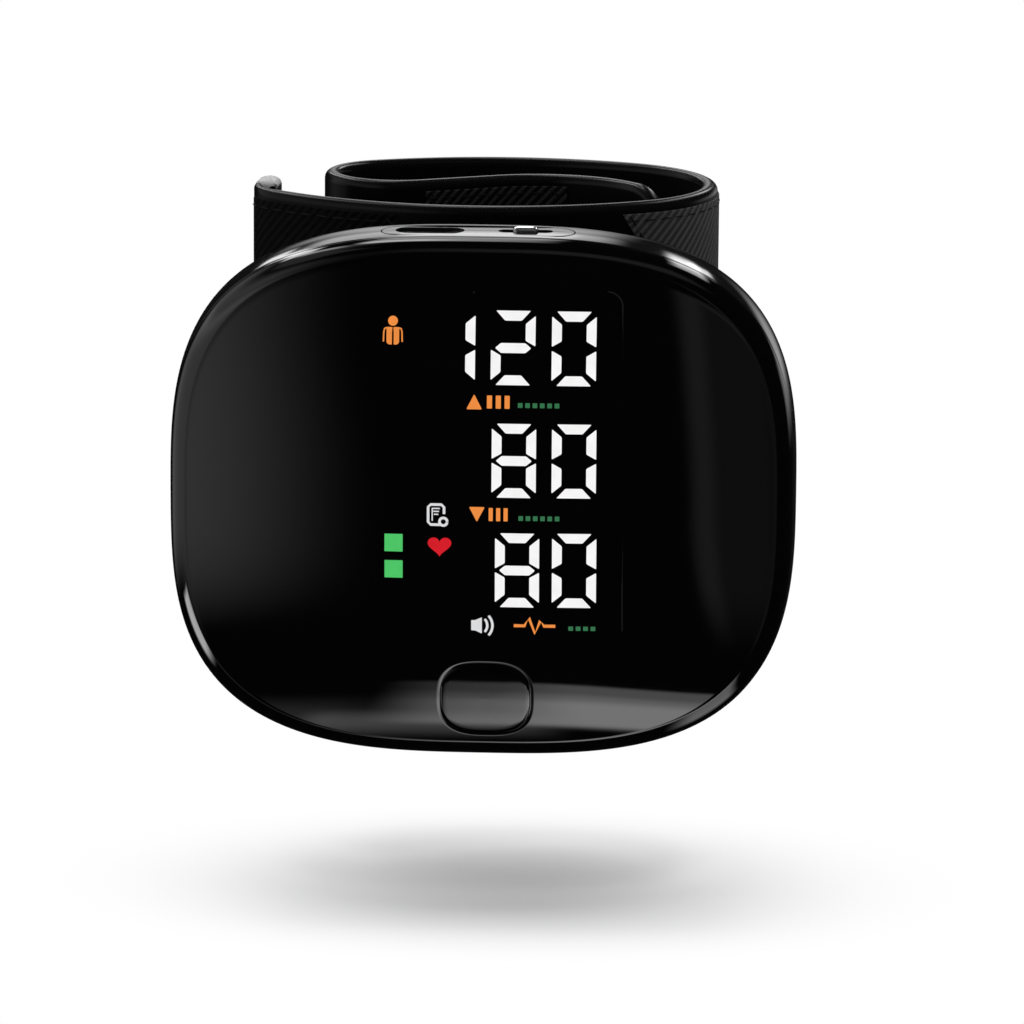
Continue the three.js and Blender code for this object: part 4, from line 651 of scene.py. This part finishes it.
sign("sign_sound", [rounded([(-0.72, -0.72), (-0.2, -0.72), (0.72, -1.15), (0.72, 1.15), (-0.2, 0.72),
                             (-0.72, 0.72)], 0.1)]
     + [arc(0.1, 0, radius, -42, 42, 0.34) for radius in (1.35, 2.05)], GREY, -0.18, 19.45)
sign("marks_upper", [rounded([(-1.72, 49.2), (0.4, 49.2), (-0.66, 51.25)], 0.2)]
     + dashes(1.05, 4.1, 49.35, 51.1, 3, 0.5), ORANGE)
sign("marks_middle", [rounded([(-1.25, 35.9), (0.87, 35.9), (-0.19, 33.85)], 0.2)]
     + dashes(1.4, 3.95, 34.0, 35.8, 3, 0.45), ORANGE)
pulse = [(4.85, 19.5), (6.3, 19.5), (6.9, 20.6), (7.7, 18.45), (8.4, 20.2), (8.9, 19.5), (10.45, 19.5)]
sign("marks_lower", [stroke(pulse, 0.44)], ORANGE)
sign("units", dashes(5.2, 10.75, 49.5, 50.15, 6, 0.35) + dashes(5.4, 10.9, 34.1, 34.75, 6, 0.35)
     + dashes(12.2, 15.85, 18.9, 19.5, 4, 0.35), DIM_GREEN)
corner = [(17.05 + 2.0 * math.cos(a), 63.05 + 2.0 * math.sin(a)) for a in np.linspace(0, math.pi / 2, 16)]
sign("display_edge", [stroke([(19.45 - 0.4 * k / 17, 18.9 + 2.5 * k) for k in range(18)] + corner, 0.15),
                      disc(-0.89, 64.72, 0.13, 12)], FAINT)


# ---------------- saddle and hoses to the cuff
# A moulded saddle behind the case carries the cuff; two screws hold it, and a nipple leads air into the bladder.
finish(SATIN_BLACK, "saddle", "cuff_nipple")


# ---------------- cuff
# A springy curled band, seen from above as a row of tangent arcs: smooth coated cloth outside, a soft lining
# inside and a smoother binding round its edges, all wrapped round a preformed sheet and the bladder. Its left
# end thins to a hem, folded back on itself with a roll of cloth closing it at the top; the roll's pale colour
# is a painted highlight, standing for light caught on its rounded top, over a real gloss.
BAND, HEM = 2.4, 1.0
FORWARD = [(45, 31), (19.2, 126), (47, 48), (10.3, 180), (0, 11.5), (-15, 74), (0, 7.5)]
BACKWARD = [(45, 38), (0, 1.8), (8, 56), (0, 2.6), (1.7, 180), (0, 5)]
TAB_END = -(45 * math.radians(38) + 1.8)
EDGE_ROUND, END_ROUND = 1.1, 6.0


def walk(steps, sense):
    """Follows arcs (radius, degrees) and straights (0, length) from the middle of the near run."""
    x, y, heading, length = -2.0, 27.4, 0.0, 0.0
    found = [(x, y, heading, length)]
    for radius, amount in steps:
        reach = abs(radius) * math.radians(amount) if radius else amount
        count = max(2, math.ceil(reach / 0.7), math.ceil(amount / 6) if radius else 0)
        for _ in range(count):
            if radius:
                centre_x, centre_y = x - math.sin(heading) * radius, y + math.cos(heading) * radius
                heading += sense * math.copysign(math.radians(amount) / count, radius)
                x, y = centre_x + math.sin(heading) * radius, centre_y - math.cos(heading) * radius
            else:
                x += sense * math.cos(heading) * amount / count
                y += sense * math.sin(heading) * amount / count
            length += sense * reach / count
            found.append((x, y, heading, length))
    return found


LINE = np.array(walk(BACKWARD, -1)[:0:-1] + walk(FORWARD, 1))
HEM_END, BAND_END = LINE[0, 3], LINE[-1, 3]


def band_point(length, inward, height):
    x, y, heading = (np.interp(length, LINE[:, 3], LINE[:, k]) for k in range(3))
    return (x - math.sin(heading) * inward, y + math.cos(heading) * inward, height)


def cut_line(outer, thick, low, high, radius, steps=6):
    """The band's cut: a tall rounded bar, as distances inward and heights."""
    r = min(radius, thick / 2 * 0.98)
    corners = [(outer + thick - r, low + r, -90), (outer + thick - r, high - r, 0), (outer + r, high - r, 90),
               (outer + r, low + r, 180)]
    line = []
    for k, (t, h, first) in enumerate(corners):
        line += [(t + r * math.cos(a), h + r * math.sin(a)) for a in np.radians(np.linspace(first, first + 90, steps))]
        if k in (0, 2):
            from_h, to_h = (low + r, high - r) if k == 0 else (high - r, low + r)
            line += [(line[-1][0], from_h + (to_h - from_h) * share) for share in np.arange(1, 9) / 9]
    return line


def unmoved(length, height):
    return 0.0


def swept(name, lengths, outer, thick, low, high, radius, materials, end_round=0.0, shift=unmoved):
    """A piece of the band's build, swept along the band's line, with the cloth's own map on it."""
    rings, cloth, last = [], [], max(lengths)
    for length in lengths:
        beyond = max(0.0, length - (last - end_round)) if end_round else 0.0
        lift = end_round - math.sqrt(max(0.0, end_round ** 2 - beyond ** 2))
        line = cut_line(outer, thick(length), low + lift, high - lift, radius)
        moved = [(length + shift(length, h), t, h) for t, h in line]
        rings.append([band_point(*point) for point in moved])
        cloth += [(s / 10, h / 10) for s, t, h in moved]
    points, faces = loft(rings)
    steps, pick = len(rings[0]), None
    if len(materials) > 1:
        pick = [1 if 5 <= f[0] % steps < 14 else 0 if 25 <= f[0] % steps < 34 else 2 for f in faces]
    return mesh_object(name, points, faces, materials, sharp=50, cloth=cloth, pick=pick)


def weave():
    """Shared by the cloths: slanting ribs and a fine weave, from the piece's own map."""
    tree, enter, leave = group("weave", "Shader", {"Height": "Float"}, Map="Vector", Ribs=1.0, Rib_Pitch=1.45,
                               Slant=1.0, Thread=0.5)
    split = add(tree, "SeparateXYZ", {0: enter["Map"]})
    across = maths(tree, "SUBTRACT", split, maths(tree, "MULTIPLY", split.outputs["Y"], enter["Slant"]))
    angle = maths(tree, "MULTIPLY", across, maths(tree, "DIVIDE", 20 * math.pi, enter["Rib Pitch"]))
    ridge = add(tree, "MapRange", {"Value": maths(tree, "SINE", angle), "From Min": -0.55, "From Max": 0.75},
                interpolation_type="SMOOTHSTEP")
    knit = add(tree, "TexWave", {"Vector": enter["Map"], "Scale": 9.0, "Distortion": 1.5, "Detail": 2.0},
               bands_direction="DIAGONAL")
    fuzz = add(tree, "TexNoise", {"Vector": enter["Map"], "Scale": 45.0, "Detail": 4.0})
    thread = maths(tree, "MULTIPLY", maths(tree, "MULTIPLY", knit.outputs["Fac"], fuzz), enter["Thread"])
    feed(tree, leave, {"Height": maths(tree, "MULTIPLY_ADD", ridge, enter["Ribs"], thread)})
    return tree


WEAVE = weave()


def cloth_material(name, valley, ridge, rough, ribs, thread, depth, shine):
    """A coated or woven cloth: darker between its ribs, lighter on them."""
    material, tree, shader = blank(name, Specular_IOR_Level=shine)
    cloth = add(tree, "Group", {"Map": add(tree, "UVMap", uv_map="cloth"), "Ribs": ribs, "Thread": thread},
                node_tree=WEAVE)
    bump = add(tree, "Bump", {"Height": cloth, "Strength": 1.0, "Distance": depth * MM})
    full = add(tree, "MapRange", {"Value": cloth, "From Max": max(0.05, ribs + thread * 0.5)})
    wear = add(tree, "MapRange", {"Value": full, "To Min": rough * 1.08, "To Max": rough})
    feed(tree, shader, {"Base Color": tinted(tree, full, valley, ridge), "Roughness": wear, "Normal": bump})
    return material


SKIN = cloth_material("coated_cloth", (0.0012, 0.0012, 0.0013), (0.0026, 0.0026, 0.0028), 0.3, 0.0, 0.5, 0.015, 0.05)
BINDING = cloth_material("band_edge", (0.002, 0.002, 0.0021), (0.003, 0.003, 0.0032), 0.22, 0.0, 0.5, 0.0004, 0.1)
LINING = cloth_material("lining_cloth", (0.0008, 0.0008, 0.0009), (0.003, 0.003, 0.0032), 0.75, 0.0, 1.0, 0.05, 0.04)
# The hem roll's pale grey is a painted highlight for light caught on its rounded top; its gloss is real.
ROLL = cloth_material("hem_roll_painted_highlight", (0.36, 0.36, 0.365), (0.4, 0.4, 0.405), 0.42, 0.0, 0.5, 0.0004, 0.4)


def thickness(length):
    """Full thickness along the band, thinning to a single fold of cloth before the hem."""
    share = np.clip((length - (TAB_END - 4.5)) / 4.5, 0, 1)
    return HEM + (BAND - HEM) * share * share * (3 - 2 * share)


def band_piece(name, start, end, end_round=0.0):
    lengths = {start, end} | {s for s in LINE[:, 3] if start + 0.2 < s < end - 0.2}
    if end_round:
        lengths |= {end - end_round + end_round * math.sin(a) for a in np.linspace(0, 1.55, 14)}
    return swept(name, sorted(lengths), 0.0, thickness, 0.0, TOP, EDGE_ROUND, [SKIN, LINING, BINDING], end_round)


on_far_run = (LINE[:, 1] > 62) & (LINE[:, 3] > 0)
FAR = LINE[on_far_run][np.argmin(np.abs(LINE[on_far_run, 0])), 3]
near_band = band_piece("cuff_near", HEM_END, 0.0)
wrap_band = band_piece("cuff_wrap_band", 0.0, FAR)
tail_band = band_piece("cuff_tail_band", FAR, BAND_END, END_ROUND)
roll_line = np.array([band_point(s, 0.0, TOP)
                      for s in np.linspace(HEM_END + 1.5, HEM_END + 5 + 1.7 * math.pi + 2.5, 48)])
roll_middle = roll_line.mean(axis=0)
roll_rings = []
for angle, sunk in [(0, 3.35)] + [(a, 0.35) for a in (0, 14, 28, 42, 55, 67, 77, 85)]:
    ring = roll_middle + (roll_line - roll_middle) * math.cos(math.radians(angle)) * 0.97
    roll_rings.append(at(ring[:, 0], ring[:, 1], TOP - sunk + math.sin(math.radians(angle))))
roll_points, roll_faces = loft(roll_rings)
hem_roll_painted_highlight = mesh_object("cuff_hem_roll", roll_points, roll_faces, [ROLL], cloth=roll_points[:, (0, 2)] / 10)
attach(hem_roll_painted_highlight, "monitor")
HINGE_SPAN = [placed([(24, y, 36)])[0] for y in (38, 64)]
TAIL_SPAN = [placed([(x, y, 36)])[0] for x, y in ((-15.5, 67.5), (-14.2, 56.6))]
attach(near_band, "monitor")
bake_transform(wrap_band)
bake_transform(tail_band)
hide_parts("near_cover", "near_curler", "near_bladder", "near_lining", "cuff_hem_loop")
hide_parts("wrap_cover", "wrap_curler", "wrap_bladder", "wrap_lining")
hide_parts("tail_cover", "tail_curler", "tail_lining")


# ---------------- hatched patches and their stitches
# Panels of ribbed hook-and-loop cloth laid on the band's outer face a little inside its edges, and sewn down
# all round with black thread. The panels are one cloth in three copies, painted lighter and darker by how
# light falls on each: lightest on the wrap panel as if lit from the right, darkest on the near panel.
PATCH_PROUD, PATCH_SUNK, PATCH_MARGIN, SEW_IN = 0.22, 0.12, 1.5, 1.0
# The patch cloth's lightest copy: painted light on the wrap panel, as if lit from the right where it turns.
HATCH = cloth_material("hatched_cloth", (0.015, 0.015, 0.016), (0.044, 0.044, 0.046), 0.45, 1.0, 0.3, 0.12, 0.1)
# Darker copies of the same cloth, painted shade: the tail panel's, then the near panel's darkest.
INNER_HATCH = cloth_material("hatched_cloth_inner", (0.0012, 0.0012, 0.0013), (0.018, 0.018, 0.0192), 0.5, 1.0, 0.3,
                             0.1, 0.05)
NEAR_HATCH_SHADED = cloth_material("hatched_cloth_painted_shade", (0.0006, 0.0006, 0.0007), (0.0034, 0.0034, 0.0037), 0.5, 1.0, 0.3,
                            0.1, 0.02)
THREAD = hard_material("sewing_thread", (0.006, 0.006, 0.0065), 0.6, 0.2, scale=4000, height=0.6, mottle=0.2,
                       Specular_IOR_Level=0.1)
near_run = (LINE[:, 3] > 0) & (LINE[:, 3] < 50)
SLANT_START = float(np.interp(17.8, LINE[near_run, 0], LINE[near_run, 3]))
SLANT_REACH, SLANT_FADE = 12.0, 24.0


def slant(length, height):
    """The wrap patch's first end is cut back towards the middle of the band."""
    reach = min(SLANT_REACH, TOP - PATCH_MARGIN - height, height - PATCH_MARGIN)
    return 0.64 * max(0.0, reach) * max(0.0, 1 - (length - SLANT_START) / SLANT_FADE)


def stitch_row():
    """Stitches laid along a line at an even pitch."""
    tree, enter, leave = group("stitch_row", "Geometry", {"Geometry": "Geometry"}, Geometry="Geometry",
                               Pitch=0.0026, Stitch_Length=0.0018, Thread_Radius=0.0002, Finish="Material")
    path = add(tree, "MeshToCurve", {0: enter["Geometry"]})
    even = add(tree, "ResampleCurve", {"Curve": path, "Length": enter["Pitch"]}, mode="LENGTH")
    places = add(tree, "CurveToPoints", {"Curve": even}, mode="EVALUATED")
    way = add(tree, "AlignRotationToVector", {"Vector": places.outputs["Tangent"]}, axis="X")
    bead = add(tree, "MeshIcoSphere", {"Radius": 1.0, "Subdivisions": 2})
    size = add(tree, "CombineXYZ", {"X": maths(tree, "MULTIPLY", enter["Stitch Length"], 0.5),
                                    "Y": enter["Thread Radius"], "Z": enter["Thread Radius"]})
    row = add(tree, "InstanceOnPoints", {"Points": places, "Instance": bead, "Rotation": way, "Scale": size})
    return dressed(tree, enter, leave, row)


STITCH_ROW = stitch_row()


def sewn_line(name, start, end, shift):
    """Stitches that follow the sewing line round a patch."""
    low, high = PATCH_MARGIN + SEW_IN, TOP - PATCH_MARGIN - SEW_IN
    along, up = np.linspace(start + SEW_IN, end - SEW_IN, 121), np.linspace(low, high, 41)
    line = [(s, high) for s in along] + [(end - SEW_IN, h) for h in up[::-1]] + [(s, low) for s in along[::-1]]
    line += [(start + SEW_IN, h) for h in up]
    mesh = bpy.data.meshes.new(name)
    mesh.from_pydata([tuple(placed([band_point(s + shift(s, h), -PATCH_PROUD, h)])[0]) for s, h in line],
                     [(k, k + 1) for k in range(len(line) - 1)], [])
    return built(name, STITCH_ROW, {"Pitch": 2.6 * MM, "Stitch Length": 1.9 * MM, "Thread Radius": 0.11 * MM,
                                    "Finish": THREAD}, into_scene(name, mesh))


inner_bend = LINE[np.argmin(np.hypot(LINE[:, 0] - 9.15, LINE[:, 1] - 54.56)), 3]
on_inner_run = (LINE[:, 3] > FAR + 20) & (LINE[:, 3] < inner_bend)
inner_start = float(np.interp(-10.5, LINE[on_inner_run, 0], LINE[on_inner_run, 3]))
for part, cloth, start, end, shift in (("near", NEAR_HATCH_SHADED, TAB_END - 5.0, -11.0, unmoved),
                                       ("wrap", HATCH, SLANT_START, FAR - 6, slant),
                                       ("tail", INNER_HATCH, inner_start, inner_bend, unmoved)):
    lengths = np.linspace(start, end, math.ceil((end - start) / 0.7) + 1)
    panel = swept("patch_" + part, lengths, -PATCH_PROUD, lambda length: PATCH_PROUD + PATCH_SUNK, PATCH_MARGIN,
                  TOP - PATCH_MARGIN, 0.25, [cloth], shift=shift)
    for thing in (panel, sewn_line("stitches_" + part, start, end, shift)):
        if part == "near":
            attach(thing, "monitor")
        elif part == "wrap":
            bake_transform(thing)
        else:
            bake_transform(thing)
    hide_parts(part + "_fabric")


# ---------------- light
# A dim even room, one broad soft lamp overhead for the shadow, and a studio of cards and strip lamps that only
# polished surfaces mirror: a white card at the left, two strips overhead behind, and a lit patch of table.
def soft_patch():
    """A soft-edged lit patch in any two coordinates."""
    tree, enter, leave = group("soft_patch", "Shader", {"Light": "Float"}, Across=0.0, Along=0.0, Centre_Across=0.0,
                               Centre_Along=0.0, Half_Width=1.0, Half_Length=1.0, Soft_Width=1.0, Soft_Length=1.0,
                               Strength=1.0)
    light = enter["Strength"]
    for place, half, soft in (("Across", "Half Width", "Soft Width"), ("Along", "Half Length", "Soft Length")):
        off = maths(tree, "ABSOLUTE", maths(tree, "SUBTRACT", enter[place], enter["Centre " + place]))
        fade = maths(tree, "MULTIPLY", enter[soft], 0.5)
        share = add(tree, "MapRange", {"Value": off, "From Min": maths(tree, "ADD", enter[half], fade),
                                       "From Max": maths(tree, "SUBTRACT", enter[half], fade)},
                    interpolation_type="SMOOTHSTEP")
        light = maths(tree, "MULTIPLY", light, share)
    feed(tree, leave, {"Light": light})
    return tree


SOFT_PATCH = soft_patch()
world = bpy.data.worlds.new("studio")
world.use_nodes = True
bpy.context.scene.world = world
tree = world.node_tree
to_x, to_y, to_z = add(tree, "SeparateXYZ", {0: add(tree, "TexCoord").outputs["Generated"]}).outputs


def degrees(operation, *values):
    return maths(tree, "DEGREES", maths(tree, operation, *values))


front, drop = maths(tree, "MULTIPLY", to_y, -1.0), maths(tree, "MULTIPLY", to_z, -1.0)
azimuth, elevation = degrees("ARCTAN2", to_x, front), degrees("ARCSINE", to_z)
board = maths(tree, "ADD", azimuth, maths(tree, "MULTIPLY", elevation, 0.2))
back_azimuth = degrees("ARCTAN2", to_x, to_y)
roof_side, roof_back = degrees("ARCTAN2", to_x, to_z), degrees("ARCSINE", to_y)
drop = maths(tree, "MAXIMUM", drop, 0.02)
table_x, table_y = maths(tree, "DIVIDE", to_x, drop), maths(tree, "DIVIDE", front, drop)
below = maths(tree, "LESS_THAN", to_z, 0.0)
STUDIO = [      # each patch of light: its middle, half its size, its softness and its strength
    # a white card at the left, its soft upper part, and the wall above it
    (azimuth, elevation, (-71, 3.5, 51, 20.5, 24, 11, 0.74), (-82, 32, 55, 14, 40, 20, 0.7),
     (-95, 65, 50, 9, 20, 8, 0.36)),
    # a grey board at the right, the pale ceiling, a low wall at the right behind, a wall straight behind
    (board, elevation, (12.3, -2, 1.2, 18, 2, 10, 0.11), (16, -2, 5, 18, 3, 10, 0.085)),
    (azimuth, elevation, (20, 53, 30, 9, 20, 10, 0.22), (140, 0, 25, 6, 14, 8, 0.9)),
    (back_azimuth, elevation, (-3.5, 9, 4, 11, 5, 6, 0.5)),
    # the left overhead strip from its near end to its far end, and the wall beside it
    (roof_side, roof_back, (-21, 19, 5, 6, 5, 5, 3.3), (-27.5, 36, 4.3, 13, 4, 6, 6.3), (-32.5, 52, 4.3, 6, 4, 5, 5.0),
     (-39, 60, 5, 4, 4, 4, 3.8), (-47, 66, 6, 3, 5, 4, 3.0)),
    # the strip beside it, its near part first; the right strip and its far end; a bar behind and the wall above
    (roof_side, roof_back, (-9, 29, 4.5, 8, 4, 5, 3.8), (-7, 46, 6, 25, 4, 6, 1.9), (28.5, 42, 6, 26, 5, 12, 5.2),
     (36, 62, 5, 6, 4, 5, 3.5), (-14, 67, 20, 5, 10, 5, 1.5), (-25, 77, 30, 4, 20, 6, 0.55)),
    # the lit table in front, brighter towards its near edge, then its strip that runs on to the right
    (table_x, table_y, (0.28, 1.40, 0.38, 0.19, 0.25, 0.04, 1.5), (0.28, 1.35, 0.38, 0.14, 0.25, 0.06, 1.0),
     (0.28, 1.32, 0.38, 0.11, 0.25, 0.08, 1.6), (0.52, 0.60, 0.20, 0.60, 0.16, 0.50, 2.3)),
    # its dim left side, and a low strip far to the left
    (table_x, table_y, (-0.19, 1.21, 0.14, 0.07, 0.10, 0.12, 0.9), (-0.62, 1.22, 0.42, 0.12, 0.3, 0.3, 0.5),
     (-1.75, 0.95, 0.6, 0.6, 0.3, 0.5, 8.0))]
light = 0.008
for across, along, *patches in STUDIO:
    for patch in patches:
        found = add(tree, "Group", dict(enumerate((across, along, *patch))), node_tree=SOFT_PATCH)
        if across == table_x:
            found = maths(tree, "MULTIPLY", found, below)
        light = maths(tree, "ADD", light, found)
plain = tree.nodes["Background"]
feed(tree, plain, {"Color": (1, 1, 1, 1), "Strength": 0.5})
mirrored = add(tree, "Background", {"Color": (1, 1, 1, 1), "Strength": light})
backdrop = add(tree, "Background", {"Color": (1, 1, 1, 1), "Strength": 1.0})
paths = add(tree, "LightPath").outputs
by_gloss = add(tree, "MixShader", {0: paths["Is Glossy Ray"], 1: plain, 2: mirrored})
seen = maths(tree, "MAXIMUM", paths["Is Camera Ray"], paths["Is Transmission Ray"])
feed(tree, tree.nodes["World Output"], {"Surface": add(tree, "MixShader", {0: seen, 1: by_gloss, 2: backdrop})})


def outward(azimuth, elevation):
    """The way out from the monitor; azimuth 0 is in front, 90 degrees to the right."""
    a, e = math.radians(azimuth), math.radians(elevation)
    return Vector((math.sin(a) * math.cos(e), -math.cos(a) * math.cos(e), math.sin(e)))


def lamp(name, azimuth, elevation, distance, size_x, size_y, power):
    """A soft area lamp that faces the monitor and isn't mirrored in it."""
    out = outward(azimuth, elevation)
    data = bpy.data.lights.new(name, "AREA")
    data.shape, data.size, data.size_y, data.energy = "RECTANGLE", size_x, size_y, power
    thing = into_scene(name, data)
    thing.location = Vector((0, 0, 0.036)) + out * distance
    thing.rotation_euler = (-out).to_track_quat("-Z", "Y").to_euler()
    thing.visible_camera = thing.visible_glossy = False


lamp("overhead", -90, 87, 1.2, 0.8, 0.7, 9.0)
lamp("right", 105, 12, 1.2, 0.6, 0.6, 4.0)


# ---------------- floor
# A white table top well below the monitor, which only catches its soft shadow. For camera rays the table is
# painted plain white outside an oval round the monitor: painted light that grows from none at the oval's middle
# to full at its edge and fades the shadow out there.
FLOOR_DROP, FLOOR_HALF = 26.0, 6.0
floor_mesh = bpy.data.meshes.new("floor")
floor_mesh.from_pydata([(sx * FLOOR_HALF, sy * FLOOR_HALF, -FLOOR_DROP * MM) for sx, sy in
                        ((-1, -1), (1, -1), (1, 1), (-1, 1))], [], [(0, 1, 2, 3)])
paper, tree, shader = blank("table_paper", Roughness=1.0, Specular_IOR_Level=0.0)
place, paths = add(tree, "TexCoord").outputs["Object"], add(tree, "LightPath").outputs
fibre = add(tree, "TexNoise", {"Vector": place, "Scale": 300.0})
feed(tree, shader, {"Base Color": tinted(tree, fibre, (0.88, 0.88, 0.88), (0.9, 0.9, 0.9))})
middle = add(tree, "VectorMath", {0: place, 1: (0.003, 0.0, 0.0)}, operation="SUBTRACT")
oval = add(tree, "VectorMath", {0: middle, 1: (1.0, 1.6, 0.0)}, operation="MULTIPLY")
spot = add(tree, "VectorMath", {0: oval}, operation="LENGTH").outputs["Value"]
# Painted light: the share of plain white the camera sees, from none in the oval's middle to all at its edge.
painted_white_share = add(tree, "MapRange", {"Value": spot, "From Max": 0.07}, interpolation_type="SMOOTHSTEP")
white = add(tree, "Emission", {"Color": (1, 1, 1, 1), "Strength": 1.0})
lit_paper = add(tree, "MixShader", {0: maths(tree, "MULTIPLY", paths["Is Camera Ray"], painted_white_share), 1: shader, 2: white})
whole = add(tree, "MixShader", {0: paths["Is Glossy Ray"], 1: lit_paper, 2: add(tree, "BsdfTransparent")})
feed(tree, tree.nodes["Material Output"], {"Surface": whole})
floor_mesh.materials.append(paper)
into_scene("floor", floor_mesh)


# ---------------- camera
# Slightly above the monitor and a little to its right, far enough away to flatten it.
TURN, TILT, ROLL_ANGLE = 3.0, 12.3, math.radians(0.4)
PX_PER_MM, DISTANCE, FRAME_PX, SENSOR = 7.401, 900.0, 1024, 36
SEEN, SEEN_AT = Vector((0, 6, 36)), (480.907, 496.952)      # a place on the monitor, and its pixel in the photograph
back = outward(TURN, TILT)
right = Vector((math.cos(math.radians(TURN)), math.sin(math.radians(TURN)), 0))
up = back.cross(right)
right, up = (right * math.cos(ROLL_ANGLE) + up * math.sin(ROLL_ANGLE),
             up * math.cos(ROLL_ANGLE) - right * math.sin(ROLL_ANGLE))
aim = SEEN + (right * (FRAME_PX / 2 - SEEN_AT[0]) - up * (FRAME_PX / 2 - SEEN_AT[1])) / PX_PER_MM
data = bpy.data.cameras.new("photo_view")
data.sensor_width = SENSOR
data.lens = PX_PER_MM * DISTANCE / FRAME_PX * SENSOR
data.clip_start, data.clip_end = 0.01, 50
camera = into_scene("photo_view", data)
camera.location = placed([tuple(aim + back * DISTANCE)])[0]
camera.rotation_euler = Matrix((right, up, back)).transposed().to_euler()
bpy.context.scene.camera = camera
bpy.context.scene.view_settings.view_transform = "Standard"
